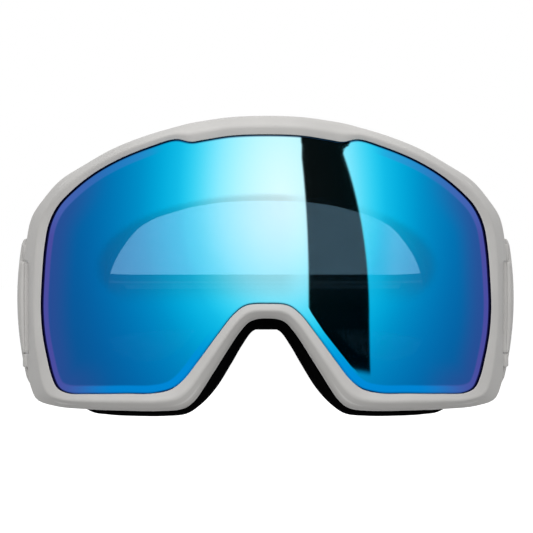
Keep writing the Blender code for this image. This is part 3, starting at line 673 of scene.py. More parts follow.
def foam_look(name, colour, cell):
    """Open-cell foam, with cells of that size in millimetres, painted darker in the cells' hollows and
    lighter on their walls as shade and light.
    """
    look = Look(name, colour, 0.95)
    place = look.place()
    wander = look.noise(place, 0.8 / cell, 2.0)
    cells = look.node("TexVoronoi", {"Vector": place, "Scale": 1 / cell, "Randomness": 0.9},
                      feature="SMOOTH_F1").outputs["Distance"]
    height = look.math("ADD", cells, look.product(wander, 0.5))
    # The colour follows the same heights as the bump, darker in the low hollows and lighter on the high cell
    # walls: painted shade and light.
    lighter = tuple(channel * 1.9 for channel in colour)
    darker = tuple(channel * 0.35 for channel in colour)
    look.drive("Base Color", look.ramp(height, (0.35, rgb(*darker)), (0.95, rgb(*lighter))))
    look.drive("Normal", look.bump(height, 0.9, cell * 0.55))
    look.set("Specular IOR Level", 0.0)
    return look.material


def fleece_look():
    """Brushed fleece: short tangled fibres over a fine knit."""
    look = Look("fleece", (0.006, 0.006, 0.007), 1.0)
    place = look.place()
    tangle = look.noise(place, 2.6, 5.0, 0.75)
    tufts = look.noise(place, 0.55, 3.0)
    height = look.math("ADD", look.product(tangle, 0.6), tufts)
    # Darker where the fibres lie low and lighter on the tufts, following the bump's heights: painted shade
    # and light.
    look.drive("Base Color", look.ramp(height, (0.55, rgb(0.0018, 0.0018, 0.002)),
                                       (1.0, rgb(0.008, 0.008, 0.009))))
    look.drive("Normal", look.bump(height, 0.9, 0.35))
    look.set("Specular IOR Level", 0.0)
    look.set("Sheen Weight", 0.004)
    look.set("Sheen Roughness", 0.45)
    return look.material


def webbing_look():
    """Knitted elastic webbing: rows of small stitches with painted shade in the gaps between them, raised
    cords and two woven stripes.
    """
    look = Look("webbing", (0.012, 0.012, 0.014), 0.85)
    uv = look.node("UVMap", uv_map="weave").outputs["UV"]
    across = look.node("SeparateXYZ", {0: uv}).outputs["X"]
    knit = look.node("TexBrick", {"Vector": uv, "Scale": 1.0, "Mortar Size": 0.13, "Mortar Smooth": 1.0,
                                  "Brick Width": 0.95, "Row Height": 0.62}, offset=0.5).outputs["Fac"]
    slub = look.noise(uv, 0.9, 3.0)
    fuzz = look.noise(uv, 7.0, 3.0)
    height = look.math("ADD", look.math("SUBTRACT", 1.0, knit), look.product(fuzz, 0.45))
    from_middle = look.math("DIVIDE", look.math("ABSOLUTE", across), 20.0)
    stripe = look.ramp(from_middle, (0.615, 0.0), (0.625, 1.0), (0.685, 1.0), (0.695, 0.0))
    yarn = look.ramp(look.math("ADD", slub, look.product(fuzz, 0.4)),
                     (0.45, rgb(0.007, 0.007, 0.008)), (1.0, rgb(0.026, 0.026, 0.029)))
    pale = look.ramp(fuzz, (0.3, rgb(0.13, 0.13, 0.13)), (0.7, rgb(0.27, 0.27, 0.265)))
    coloured = look.mix(stripe, yarn, pale)
    # The gaps between the stitches are painted near black: painted shade.
    painted_shade_between_stitches = look.product(knit, 0.55)
    look.drive("Base Color", look.mix(painted_shade_between_stitches, coloured, rgb(0.003, 0.003, 0.003)))
    look.drive("Roughness", look.ramp(fuzz, (0.3, 0.72), (0.7, 0.92)))
    look.drive("Normal", look.bump(height, 0.8, 0.16))
    look.set("Specular IOR Level", 0.12)
    look.set("Sheen Weight", 0.03)
    look.set("Sheen Roughness", 0.4)
    return look.material


def silicone_look():
    look = Look("silicone", (0.03, 0.03, 0.035), 0.4)
    place = look.place()
    mottled = look.noise(place, 0.9, 3.0)
    dark, light = rgb(0.024, 0.024, 0.029), rgb(0.042, 0.042, 0.05)
    look.drive("Base Color", look.ramp(mottled, (0.3, dark), (0.7, light)))
    look.drive("Roughness", look.ramp(mottled, (0.3, 0.32), (0.7, 0.50)))
    look.drive("Normal", look.bump(mottled, 0.25, 0.1))
    look.set("Coat Weight", 0.2)
    return look.material


def thread_look():
    look = Look("thread", (0.02, 0.02, 0.022), 0.6)
    twist = look.node("TexWave", {"Vector": look.place(), "Scale": 1.4, "Distortion": 1.0}).outputs["Fac"]
    dark, light = rgb(0.012, 0.012, 0.013), rgb(0.040, 0.040, 0.043)
    # The colour follows the twist, darker in its grooves and lighter on its ridges: painted shade and light.
    look.drive("Base Color", look.ramp(twist, (0.2, dark), (0.8, light)))
    look.drive("Normal", look.bump(twist, 0.5, 0.08))
    return look.material


# ---------------------------------------------------------------- frame shell
def frame_section(i):
    width = rim_width(i)
    tip = rim_point(i, 0)
    crest = rim_point(i, width * CREST_SHARE)
    shoulder = rim_point(i, width * SHOULDER_SHARE)
    edge = FRAME_EDGE[i]
    wall = rim_point(i, wall_distance(i))
    corners = [
        at_depth(tip, lens_y(*tip) - GAP - RIM_LIP),
        at_depth(crest, lens_y(*crest) - RIM_CREST),
        at_depth(shoulder, lens_y(*edge) + SHOULDER_DROP),
        at_depth(edge, lens_y(*edge) + SIDE_DROP),
        at_depth(edge, rear_y(edge[0])),
        at_depth(wall, rear_y(wall[0])),
        at_depth(wall, lens_y(*wall) - GAP),
        at_depth(tip, lens_y(*tip) - GAP),
    ]
    return rounded(corners, (0.22, 1.1, 1.6, 1.3, 0.5, 0.3, 0.4, 0.15), steps=5)


def slot_cutter(x, upper):
    """A rounded slot through the top or bottom wall, with a small chamfer where it leaves the wall."""
    half = RING_STATIONS // 2
    stations = range(half) if upper else range(half, RING_STATIONS)
    i = min(stations, key=lambda k: abs(FRAME_EDGE[k][0] - x))
    along = FRAME_EDGE[i + 1] - FRAME_EDGE[i - 1]
    outward = np.array([-along[1], along[0]]) / np.linalg.norm(along)
    tilt = math.atan2(outward[0], outward[1])
    a, b = VENT_SLOT[0] / 2, VENT_SLOT[1] / 2
    outline = rounded([(-a, -b), (a, -b), (a, b), (-a, b)], [2.0] * 4, steps=6)
    mesh = outline_prism("slot", outline, [(-4.5, 0.0), (-0.5, 0.0), (0.35, 0.7), (4.5, 0.7)])
    middle = Vector((FRAME_EDGE[i][0], rear_y(x) - PLATE_SPIGOT - VENT_FOAM_DEPTH / 2, FRAME_EDGE[i][1]))
    mesh.transform(Matrix.Translation(middle * MM) @ Matrix.Rotation(tilt, 4, "Y"))
    return mesh


def knuckle_plan(root_x, arc=16):
    """Plan of a hinge knuckle: round about the pin, straight back to its root."""
    plan = [(root_x, HINGE_Y + KNUCKLE_RADIUS), (root_x, HINGE_Y - KNUCKLE_RADIUS)]
    for k in range(arc + 1):
        turn = -math.pi / 2 + math.pi * k / arc
        plan.append((HINGE_X + KNUCKLE_RADIUS * math.cos(turn), HINGE_Y + KNUCKLE_RADIUS * math.sin(turn)))
    return plan


def round_plan(centre, radius, sides=40):
    turns = [2 * math.pi * k / sides for k in range(sides)]
    return [(centre[0] + radius * math.cos(t), centre[1] + radius * math.sin(t)) for t in turns]


def make_shell(look):
    cuts = [slot_cutter(x, True) for x in VENT_UPPER_X]
    cuts += [slot_cutter(x, False) for x in VENT_LOWER_X]
    cuts.append(soft_box((RECESS_X, RECESS_Y, RECESS_Z[0]), (99, 40, RECESS_Z[1]), 0.5))
    notch = soft_box((NOTCH_X, NOTCH_Y, LUG_LOWER_Z[1] - 0.1), (98, 39, LUG_UPPER_Z[0] + 0.1), 0.4)
    lugs = [soft_prism("lug", knuckle_plan(RECESS_X - 0.6), z_range)
            for z_range in (LUG_UPPER_Z, LUG_LOWER_Z)]
    hole_z = (LUG_LOWER_Z[0] - 5, PIN_Z[1] + GAP)
    hole = outline_prism("hole", round_plan((HINGE_X, HINGE_Y), PIN_HOLE_RADIUS),
                         [(hole_z[0], 0.0), (hole_z[1], 0.0)])
    stages = (("DIFFERENCE", cuts), ("DIFFERENCE", [notch]), ("UNION", lugs), ("DIFFERENCE", [hole]))
    steps = []
    for operation, meshes in stages:
        both = meshes + [mirrored(mesh, "other_side") for mesh in meshes]
        steps.append((operation, joined(both)))
    mesh = combined(skin("shell", ring_rings(frame_section), loop=True), steps, "shell")
    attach(finish_piece("shell", mesh, look, ["outer_frame"]), "root")


# ---------------------------------------------------------------- lenses
def whole_outline(half):
    """A closed outline of (x, z) points, from those of the +X half."""
    half = np.array(half, float)
    half[[0, -1], 0] = 0.0
    return np.vstack([half, half[-2:0:-1] * np.array([-1.0, 1.0])])


def lens_rings(reach, insets):
    """Outline rings of the lens, from its outer edge in to its centre, as points of (x, z)."""
    outline = whole_outline([rim_point(i, reach) for i in range(RING_STATIONS)])
    centre = np.array(LENS_CENTRE)
    unit = (outline - centre) / np.linalg.norm(outline - centre, axis=1)[:, None]
    outward = whole_outline([rim_point(i, 1) - rim_point(i, 0) for i in range(RING_STATIONS)])
    slant = np.maximum((unit * outward).sum(axis=1)[:, None], 0.25)
    rings = [outline - unit * inset / slant for inset in insets]
    last = rings[-1]
    for share in (0.86, 0.7, 0.54, 0.4, 0.28, 0.17, 0.08):
        rings.append(centre + (last - centre) * share)
    return rings


def edge_distances(points):
    """How far points of (x, z) are inside the lens's visible edge, and the outward directions there."""
    edge = whole_outline(LENS_EDGE)
    along = np.roll(edge, -1, axis=0) - edge
    square = (along**2).sum(axis=1)
    distances, directions = [], []
    for point in points:
        from_start = point - edge
        share = np.clip((from_start * along).sum(axis=1) / square, 0, 1)
        offsets = edge + along * share[:, None] - point
        lengths = np.linalg.norm(offsets, axis=1)
        near = int(lengths.argmin())
        outward = np.array([-along[near][1], along[near][0]]) / math.sqrt(square[near])
        within = float(offsets[near] @ outward) > 0
        distances.append(lengths[near] if within else -lengths[near])
        directions.append(outward)
    return np.array(distances), np.array(directions)


def roll_drop(inside, x, z):
    """How far the rolled edge falls back at a distance inside the visible edge."""
    share = min(max(inside / LENS_ROLL, 0.0), 1.0)
    beside_nose = smooth_step(NOSE_ROLL_X - abs(x), 0.0, 6.0) * smooth_step(-z, 6.0, 14.0)
    drop = LENS_ROLL_DROP + (NOSE_ROLL_DROP - LENS_ROLL_DROP) * beside_nose
    return drop * (1 - share) ** 2 * (1 + 0.6 * share)


def pane_mesh(name, reach, distance, thickness, rolled):
    """A curved pane as a closed mesh, its front faces first, with the front's exact normals."""
    insets = (0.0, 0.4, 0.8, 1.2, 1.45, 1.7, 2.0, 2.4, 2.8, 3.2, 3.6, 4.0, 4.3, 4.7, 5.5, 7.0, 9.5, 13.0)
    rings = lens_rings(reach, insets)
    count = len(rings[0])
    flat = np.vstack(rings + [np.array([LENS_CENTRE])])
    inside, outward = edge_distances(flat)
    front, normals = [], []
    for (x, z), depth_in, out in zip(flat, inside, outward):
        drop, slope, step = 0.0, 0.0, 0.02
        if rolled:
            drop = roll_drop(depth_in, x, z)
            slope = (roll_drop(depth_in - step, x, z) - roll_drop(depth_in + step, x, z)) / (2 * step)
        front.append((x, behind_lens(x, z, distance) + drop, z))
        tilt = np.array([x / math.sqrt(LENS_RADIUS**2 - x * x) + out[0] * slope, -1.0,
                         z / math.sqrt(LENS_SIDE_RADIUS**2 - z * z) + out[1] * slope])
        normals.append(tilt / np.linalg.norm(tilt))
    front, normals = np.array(front), np.array(normals)
    flat_normals = np.array([(px / math.sqrt(LENS_RADIUS**2 - px * px), -1.0, 0.0) for px in front[:, 0]])
    flat_normals /= np.linalg.norm(flat_normals, axis=1)[:, None]
    back = front - flat_normals * thickness
    size, centre = len(front), len(front) - 1
    faces = []
    for r in range(len(rings) - 1):
        for k in range(count):
            a, b = r * count + k, r * count + (k + 1) % count
            faces.append((a, b, b + count, a + count))
    last = (len(rings) - 1) * count
    faces += [(last + k, last + (k + 1) % count, centre) for k in range(count)]
    front_faces = len(faces)
    faces += [tuple(reversed([v + size for v in face])) for face in faces]
    faces += [((k + 1) % count, k, k + size, (k + 1) % count + size) for k in range(count)]
    mesh = bpy.data.meshes.new(name)
    mesh.from_pydata((np.vstack([front, back]) * MM).tolist(), [], faces)
    attribute = mesh.attributes.new("edge_distance", "FLOAT", "POINT")
    attribute.data.foreach_set("value", np.concatenate([inside, inside]))
    if mesh.polygons[0].normal.y > 0:
        mesh.flip_normals()
    mesh.shade_smooth()
    corner_normals = []
    for polygon in mesh.polygons:
        for vertex in polygon.vertices:
            if polygon.index < front_faces:
                corner_normals.append(normals[vertex])
            elif polygon.index < 2 * front_faces:
                corner_normals.append(-flat_normals[vertex - size])
            else:
                corner_normals.append(polygon.normal)
    mesh.normals_split_custom_set([tuple(n) for n in corner_normals])
    return mesh, front_faces


def make_lenses(mirror, back_look, inner_look):
    mesh, front_faces = pane_mesh("mirror_lens", LENS_OVERLAP, 0.0, LENS_THICK, True)
    mesh.materials.append(mirror)
    mesh.materials.append(back_look)
    for polygon in mesh.polygons:
        polygon.material_index = 0 if polygon.index < front_faces else 1
    lens = new_object("mirror_lens", mesh)
    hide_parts("lens_outer")
    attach(lens, "root")
    mesh, _ = pane_mesh("inner_lens", 0.7, LENS_THICK + SPACER_DEPTH + 2 * GAP, INNER_LENS_THICK, False)
    mesh.materials.append(inner_look)
    inner = new_object("inner_lens", mesh)
    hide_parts("lens_inner")
    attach(inner, "root")


def spacer_section(i):
    front = LENS_THICK + GAP
    inner, outer = rim_point(i, -2.4), rim_point(i, 0.7)
    return rounded([
        at_depth(outer, behind_lens(*outer, front)),
        at_depth(outer, behind_lens(*outer, front + SPACER_DEPTH)),
        at_depth(inner, behind_lens(*inner, front + SPACER_DEPTH)),
        at_depth(inner, behind_lens(*inner, front)),
    ], [0.4] * 4, steps=3)


# ---------------------------------------------------------------- face plate and foam
def plate_opening(i):
    return LENS_EDGE[i] + (FOAM_OPENING[i] - LENS_EDGE[i]) * PLATE_OPENING


def plate_section(i):
    outer = rim_point(i, wall_distance(i) - GAP)
    inner = rim_point(i, wall_distance(i) - GAP - PLATE_THICK)
    opening = plate_opening(i)
    return rounded([
        at_depth(outer, rear_y(outer[0]) - PLATE_SPIGOT),
        at_depth(outer, rear_y(outer[0])),
        at_depth(opening, rear_y(opening[0])),
        at_depth(opening, rear_y(opening[0]) - PLATE_THICK),
        at_depth(inner, rear_y(inner[0]) - PLATE_THICK),
        at_depth(inner, rear_y(inner[0]) - PLATE_SPIGOT),
    ], (0.5, 0.4, 0.7, 0.7, 1.0, 0.5))


def foam_point(i, outer, share):
    """A point of the foam's outer or inner wall, at a share of the way from the plate to the face."""
    front = rim_point(i, wall_distance(i) + 1.0 - 0.6 * temple_share(i)) if outer else plate_opening(i)
    back = FOAM_EDGE[i] if outer else FOAM_OPENING[i]
    flat = front + (back - front) * share
    start = rear_y(flat[0]) + FOAM_GAP
    return flat, start + (seal_y(flat[0]) - start) * share


def foam_section(i, low, high, radius, swell):
    """A foam layer's section: walls that swell a little between rounded edges."""
    def wall(outer, shares):
        points = []
        for step, share in enumerate(shares):
            flat, depth = foam_point(i, outer, share)
            towards = foam_point(i, not outer, share)[0]
            out = (flat - towards) / np.linalg.norm(flat - towards)
            rise = math.sin(math.pi * step / (len(shares) - 1))
            trim = GAP * step / (len(shares) - 1) if high < 1.0 else 0.0
            points.append(at_depth(flat + out * swell * rise, depth - trim))
        return points
    shares = np.linspace(low, high, 5)
    corners = wall(True, shares) + wall(False, shares)[::-1]
    soft, plain = radius, 0.6
    return rounded(corners, (soft, plain, plain, plain, soft, soft, plain, plain, plain, soft), steps=4)


def make_foam(base_look, middle_look, fleece):
    layers = (
        ("foam_layer_base", base_look, "open_cell_foam", "foam_base", 0.5, 0.0, 0.55),
        ("foam_layer_middle", middle_look, "soft_foam", "foam_middle", 0.9, 0.25, 0.6),
        ("foam_layer_fleece", fleece, "fleece", "foam_fleece", 1.1, 0.35, 0.5),
    )
    for layer, low, high in zip(layers, FOAM_SPLITS, FOAM_SPLITS[1:]):
        name, look, slot, node, radius, swell, fill = layer
        mesh = skin(name, ring_rings(lambda i: foam_section(i, low, high, radius, swell)), loop=True)
        piece = finish_piece(name, mesh, look, [node], smooth=60)
        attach(piece, "root")


def vent_foam_section(i):
    outer = rim_point(i, wall_distance(i) - GAP)
    inner = rim_point(i, wall_distance(i) - GAP - VENT_FOAM_THICK)
    section = []
    for flat, back in ((outer, False), (outer, True), (inner, True), (inner, False)):
        depth = rear_y(flat[0]) - PLATE_SPIGOT - GAP - (0 if back else VENT_FOAM_DEPTH)
        section.append(at_depth(flat, depth))
    return rounded(section, [0.35] * 4, steps=3)


def make_vent_foam(look):
    half = RING_STATIONS // 2
    upper = [vent_foam_section(i) for i in range(half) if LENS_EDGE[i][0] <= VENT_FOAM_END_X]
    upper = np.array(upper, float)
    upper[0, :, 0] = 0.0
    other = upper[:0:-1] * np.array([-1.0, 1.0, 1.0])
    mesh = skin("vent_filter_top", np.concatenate([other, upper]))
    top = finish_piece("vent_filter_top", mesh, look, ["vent_foam_top"])
    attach(top, "root")
    lower = [vent_foam_section(i) for i in range(half, RING_STATIONS)
             if VENT_FOAM_LOWER_X <= LENS_EDGE[i][0] <= VENT_FOAM_END_X]
    for side, _, mesh in both_sides(skin("vent_filter_right", lower), "vent_filter"):
        name = f"vent_filter_bottom_{side}"
        bottom = finish_piece(name, mesh, look, [f"vent_foam_bottom_{side}"])
        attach(bottom, "root")


# ---------------------------------------------------------------- outriggers
def arm_face_x(y, z):
    """How far out the arm's barrelled face is."""
    share = smooth_step(y, ARM_Y, BAR_Y[1])
    crown = CROWN_X + 0.5 * smooth_step(y, ARM_Y, 18.0) - 0.9 * smooth_step(y, 20.0, BAR_Y[1])
    return crown - BARREL * (1 - 0.6 * share) * (z - CROWN_Z) ** 2


def arm_section(y):
    """A closed section of the arm in the X-Z plane: its face and edges rounded, also at its front end."""
    taper = ARM_TAPER * smooth_step(y, ARM_Y, BAR_Y[1])
    bottom, top = ARM_Z[0] + taper, ARM_Z[1] - taper
    inner = ARM_INNER_X[0] + (ARM_INNER_X[1] - ARM_INNER_X[0]) * smooth_step(y, 22.0, 32.0)
    front = 0.7 * (1 - smooth_step(y, ARM_Y - 0.4, ARM_Y + 1.2))
    section = []
    for k in range(25):
        z = bottom + (top - bottom) * k / 24
        rounding = 0.5 * (1 - smooth_step(min(z - bottom, top - z), 0.0, 1.6)) + front
        section.append([arm_face_x(y, z) - rounding, y, z])
    for z in (top, bottom):
        section.append([inner, y, z])
    radii = [0.9] + [0.1] * 23 + [0.9, 0.5, 0.5]
    return rounded(section, radii, steps=3)


def knuckle_section(z, shrink=0.0):
    """A level section of the knuckle: round about the pin, its outer side following the arm's face."""
    fall = BARREL * (z - CROWN_Z) ** 2
    back_y = ARM_Y + 1.8
    corners = [(86.6 - 0.2 * fall, 5.35 + shrink), (87.9 - 0.6 * fall - shrink, 5.5 + shrink),
               (89.3 - fall - shrink, 7.6), (arm_face_x(back_y, z) - 0.03 - shrink, back_y), (84.6, back_y)]
    section = rounded(corners, (0.4, 1.3, 1.5, 0.2, 0.2), steps=5)
    for k in range(25):
        turn = math.radians(100 + 165 * k / 24)
        radius = KNUCKLE_RADIUS - shrink
        section.append((HINGE_X + radius * math.cos(turn), HINGE_Y + radius * math.sin(turn)))
    return [(x, y, z) for x, y in section]


def knuckle_mesh():
    low, high = KNUCKLE_Z
    levels = [(low, 0.35), (low + 0.1, 0.12), (low + 0.35, 0.0)]
    levels += [(z, 0.0) for z in np.linspace(low + 1.5, high - 1.5, 18)]
    levels += [(high - 0.35, 0.0), (high - 0.1, 0.12), (high, 0.35)]
    return skin("knuckle", [knuckle_section(z, shrink) for z, shrink in levels])


def make_outriggers(look, steel):
    depths = np.concatenate([np.linspace(ARM_Y, ARM_Y + 1.2, 6), np.linspace(ARM_Y + 2.0, BAR_Y[1], 38)])
    arm = skin("arm", [arm_section(y) for y in depths])
    knuckle = knuckle_mesh()
    half = STRAP_WIDTH / 2 + 0.5
    window = soft_box((80, WINDOW_Y[0], STRAP_Z - half), (99, WINDOW_Y[1], STRAP_Z + half), 0.8)
    middle, radius = (STRAP_X + FOLD_X) / 2, BAR_THICK / 2
    bar_plan = [(middle + radius, BAR_Y[1] - 0.3), (middle + radius - 0.3, BAR_Y[1]),
                (middle - radius + 0.3, BAR_Y[1]), (middle - radius, BAR_Y[1] - 0.3)]
    for k in range(17):
        turn = math.pi + math.pi * k / 16
        bar_plan.append((middle + radius * math.cos(turn), BAR_Y[0] + radius + radius * math.sin(turn)))
    bar = soft_prism("bar", bar_plan, BAR_Z, 0.3)
    bore = outline_prism("bore", round_plan((HINGE_X, HINGE_Y), PIN_HOLE_RADIUS),
                         [(KNUCKLE_Z[0] - 2, 0.0), (KNUCKLE_Z[1] + 2, 0.0)])
    steps = [("UNION", knuckle), ("DIFFERENCE", window), ("UNION", bar), ("DIFFERENCE", bore)]
    right = combined(arm, steps, "outrigger_arm_right")
    pin = outline_prism("pin", round_plan((HINGE_X, HINGE_Y), PIN_RADIUS, 32), [
        (PIN_Z[0], -0.25), (PIN_Z[0] + 0.25, 0.0), (PIN_Z[1] - 0.25, 0.0), (PIN_Z[1], -0.25)])
    for (side, _, mesh), (_, _, pin_mesh) in zip(both_sides(right, "outrigger_arm"), both_sides(pin, "pin")):
        body = f"outrigger_{side}"
        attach(finish_piece(f"outrigger_arm_{side}", mesh, look, [body]), body)
        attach(finish_piece(f"pin_{side}", pin_mesh, steel, [f"hinge_pin_{side}"]), "root")


# ---------------------------------------------------------------- webbing
def strap_lean(y):
    """How far the webbing leans out at its top edge, in radians."""
    return math.radians(STRAP_LEAN) * smooth_step(y, STRAIGHT_END_Y, STRAP_REAR_Y - 8)


def webbing_profile(width, thickness, cords):
    """The webbing's closed section as (across, out) pairs: soft edges, and cords raised along its faces."""
    half, reach = width / 2, thickness / 2
    face = np.linspace(-half + reach, half - reach, 81)
    ripple = reach - 0.07 + 0.07 * np.cos(2 * np.pi * face / (width / cords)) if cords else reach + face * 0
    turns = np.linspace(math.pi / 2, -math.pi / 2, 7)[1:-1]
    end = [(half - reach + reach * math.cos(t), reach * math.sin(t)) for t in turns]
    other = [(-x, -y) for x, y in end]
    front = list(zip(face, ripple))
    back = [(-x, -y) for x, y in front]
    return front + end + back + other


def even_path(path, step):
    """The path with points at even steps along it."""
    path = np.array(path, float)
    along = np.concatenate([[0], np.cumsum(np.linalg.norm(np.diff(path, axis=0), axis=1))])
    places = np.linspace(0, along[-1], max(int(along[-1] / step), 4) + 1)
    return np.column_stack([np.interp(places, along, path[:, k]) for k in range(3)]), places


def webbing_mesh(name, path, width=STRAP_WIDTH, thickness=STRAP_THICK, lift=(0.0, 0.0), cords=WEBBING_CORDS,
                 start=0.0, step=STRAP_STEP):
    """Webbing that stands on edge along a path; lift moves it outward and up its own face."""
    path, places = even_path(path, step)
    profile = webbing_profile(width, thickness, cords)
    tangent = np.gradient(path[:, :2], axis=0)
    tangent /= np.linalg.norm(tangent, axis=1)[:, None]
    rings, uv = [], []
    for point, (tx, ty), place in zip(path, tangent, places):
        outward, lean = np.array([ty, -tx, 0.0]), strap_lean(point[1])
        face = outward * math.cos(lean) + np.array([0, 0, -math.sin(lean)])
        rise = outward * math.sin(lean) + np.array([0, 0, math.cos(lean)])
        rings.append([point + face * (out + lift[0]) + rise * (across + lift[1]) for across, out in profile])
        uv.append([(across, start + place) for across, out in profile])
    return skin(name, rings, uv=uv)


def u_turn(outer_x, inner_x, y, forward):
    """Points of a half circle between two layers; its front or rear is at y plus or minus the radius."""
    radius, middle = (outer_x - inner_x) / 2, (outer_x + inner_x) / 2
    turns = [math.pi * k / 24 for k in range(1, 24)]
    reach = -radius if forward else radius
    return [(middle + radius * math.cos(t), y + reach * math.sin(t)) for t in turns]


def strap_path(start_y):
    """The +X half of the worn strap, from a point on its straight run to the middle of the back."""
    path = [(STRAP_X, y) for y in np.linspace(start_y, STRAIGHT_END_Y, 30)]
    for k in range(1, 97):
        turn = math.pi / 2 * k / 96
        path.append((STRAP_FLAT_X + (STRAP_X - STRAP_FLAT_X) * math.cos(turn),
                     STRAIGHT_END_Y + (STRAP_REAR_Y - STRAIGHT_END_Y) * math.sin(turn)))
    path += [(x, STRAP_REAR_Y) for x in np.linspace(STRAP_FLAT_X, 0.0, 12)[1:]]
    rise = STRAP_REAR_Z - STRAP_Z
    return [(x, y, STRAP_Z + rise * smooth_step(y, STRAIGHT_END_Y, STRAP_REAR_Y)) for x, y in path]


def whole_path(half):
    """The +X half of a path and its mirror image, from the right side round the back to the left."""
    return half + [(-x, y, z) for x, y, z in half[-2::-1]]


def make_strap(look, silicone):
    band = webbing_mesh("strap_webbing", whole_path(strap_path(BLEND_Y[1])))
    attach(finish_piece("strap_webbing", band, look, ["strap_band"]), "root")
    near_back = [point for point in strap_path(BLEND_Y[1]) if point[0] < 62.0]
    inside = -(STRAP_THICK / 2 + GAP + GRIP_THICK / 2 - 0.1)
    for level, shift in (("upper", GRIP_SHIFT), ("lower", -GRIP_SHIFT)):
        name = f"grip_{level}"
        bead = webbing_mesh(name, whole_path(near_back), GRIP_WIDTH, GRIP_THICK + 0.2, (inside, shift), 0)
        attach(finish_piece(name, bead, silicone, [f"strap_grip_{level}"]), "root")
    bar_front = BAR_Y[0] + BAR_THICK / 2
    loop = [(STRAP_X, BLEND_Y[1]), (STRAP_X, bar_front)] + u_turn(STRAP_X, FOLD_X, bar_front, True)
    loop += [(FOLD_X, bar_front), (FOLD_X, BLEND_Y[1])]
    loop_mesh = webbing_mesh("loop", [(x, y, STRAP_Z) for x, y in loop], step=0.6)
    fold_mesh = webbing_mesh("fold", [(FOLD_X, y, STRAP_Z) for y in (BLEND_Y[1], SLIDER_Y[0])], start=64.0)
    for side, sign, mesh in both_sides(loop_mesh, "loop"):
        loop_piece = finish_piece(f"strap_loop_{side}", mesh, look, [f"strap_front_{side}"])
        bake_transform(loop_piece)
    for side, sign, mesh in both_sides(fold_mesh, "fold"):
        fold_piece = finish_piece(f"strap_inner_{side}", mesh, look, [f"strap_fold_{side}"])
        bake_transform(fold_piece)


# ---------------------------------------------------------------- sliders
def stitch(start, end, radius=0.22):
    """A short thread that bows out from the cloth between two points, as rings of points."""
    start, end = Vector(start), Vector(end)
    along = (end - start).normalized()
    side = along.cross(Vector((1, 0, 0)))
    rings = []
    for k in range(7):
        share = k / 6
        girth = radius * (0.35 + 0.65 * math.sin(math.pi * share))
        middle = start.lerp(end, share) - Vector((0.16 * math.sin(math.pi * share), 0, 0))
        rings.append([middle + (side * math.cos(t) + Vector((1, 0, 0)) * math.sin(t)) * girth
                      for t in np.linspace(0, 2 * math.pi, 7)[:-1]])
    return rings


def stitch_mesh():
    """A box of stitches, sewn through the folded end of the webbing."""
    surface = FOLD_X - STRAP_THICK / 2 - 0.02
    front, back = SLIDER_Y[0] + 1.4, SLIDER_BAR_Y[0] - 0.9
    low, high = STRAP_Z - 16.0, STRAP_Z + 16.0
    lines = [((front, low), (front, high)), ((back, low), (back, high))]
    lines += [((front, low), (back, low)), ((front, high), (back, high))]
    meshes = []
    for (y0, z0), (y1, z1) in lines:
        count = max(int(math.hypot(y1 - y0, z1 - z0) / 2.0), 2)
        for k in range(count):
            a, b = (k + 0.12) / count, (k + 0.88) / count
            first = (surface, y0 + (y1 - y0) * a, z0 + (z1 - z0) * a)
            last = (surface, y0 + (y1 - y0) * b, z0 + (z1 - z0) * b)
            meshes.append(skin("stitch", stitch(first, last)))
    return joined(meshes, "stitches")


def make_sliders(look, webbing, thread):
    bar_x = FOLD_X + SLIDER_BAR_THICK / 2 + 0.25 + STRAP_THICK / 2
    low, high = STRAP_Z - STRAP_WIDTH / 2 - GAP, STRAP_Z + STRAP_WIDTH / 2 + GAP
    face_x = STRAP_X + STRAP_THICK / 2 + GAP
    outer = (face_x, face_x + SLIDER_FACE)
    edge_x = FOLD_X - STRAP_THICK / 2 - 0.4
    rail = soft_box((edge_x, SLIDER_Y[0], high), (outer[1], SLIDER_Y[1], high + SLIDER_RAIL), 0.6)
    parts = [soft_box((edge_x, SLIDER_Y[0], low - SLIDER_RAIL), (outer[1], SLIDER_Y[1], low), 0.6)]
    span = (low - SLIDER_RAIL / 2, high + SLIDER_RAIL / 2)
    for x_range, y_range, radius in (
        ((outer[0], outer[1] - 0.1), (SLIDER_Y[0] + 0.4, SLIDER_Y[0] + 0.4 + SLIDER_FACE_WIDTH), 0.45),
        ((outer[0], outer[1] - 0.1), (SLIDER_Y[1] - 0.4 - SLIDER_FACE_WIDTH, SLIDER_Y[1] - 0.4), 0.45),
        ((bar_x - SLIDER_BAR_THICK / 2, bar_x + SLIDER_BAR_THICK / 2), SLIDER_BAR_Y, 0.25),
    ):
        parts.append(soft_box((x_range[0], y_range[0], span[0]), (x_range[1], y_range[1], span[1]), radius))
    right = combined(rail, [("UNION", part) for part in parts], "slider_frame_right")
    turn_y, back_x = SLIDER_BAR_Y[1] + 0.1, 2 * bar_x - FOLD_X
    path = [(FOLD_X, SLIDER_Y[0]), (FOLD_X, turn_y)] + u_turn(back_x, FOLD_X, turn_y, False)[::-1]
    path += [(back_x, turn_y), (back_x, SLIDER_Y[0] + 1.0)]
    end_mesh = webbing_mesh("end", [(x, y, STRAP_Z) for x, y in path], start=74.0, step=0.5)
    for side, _, mesh in both_sides(right, "slider_frame"):
        body = f"slider_{side}"
        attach(finish_piece(f"slider_frame_{side}", mesh, look, [body]), body)
    for side, _, mesh in both_sides(end_mesh, "end"):
        piece = finish_piece(f"strap_tip_{side}", mesh, webbing, [f"strap_end_{side}"])
        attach(piece, f"slider_{side}")
    for side, _, mesh in both_sides(stitch_mesh(), "stitches"):
        mesh.materials.append(thread)
        mesh.shade_smooth()
        sewn = new_object(f"stitches_{side}", mesh)
        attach(sewn, f"slider_{side}")


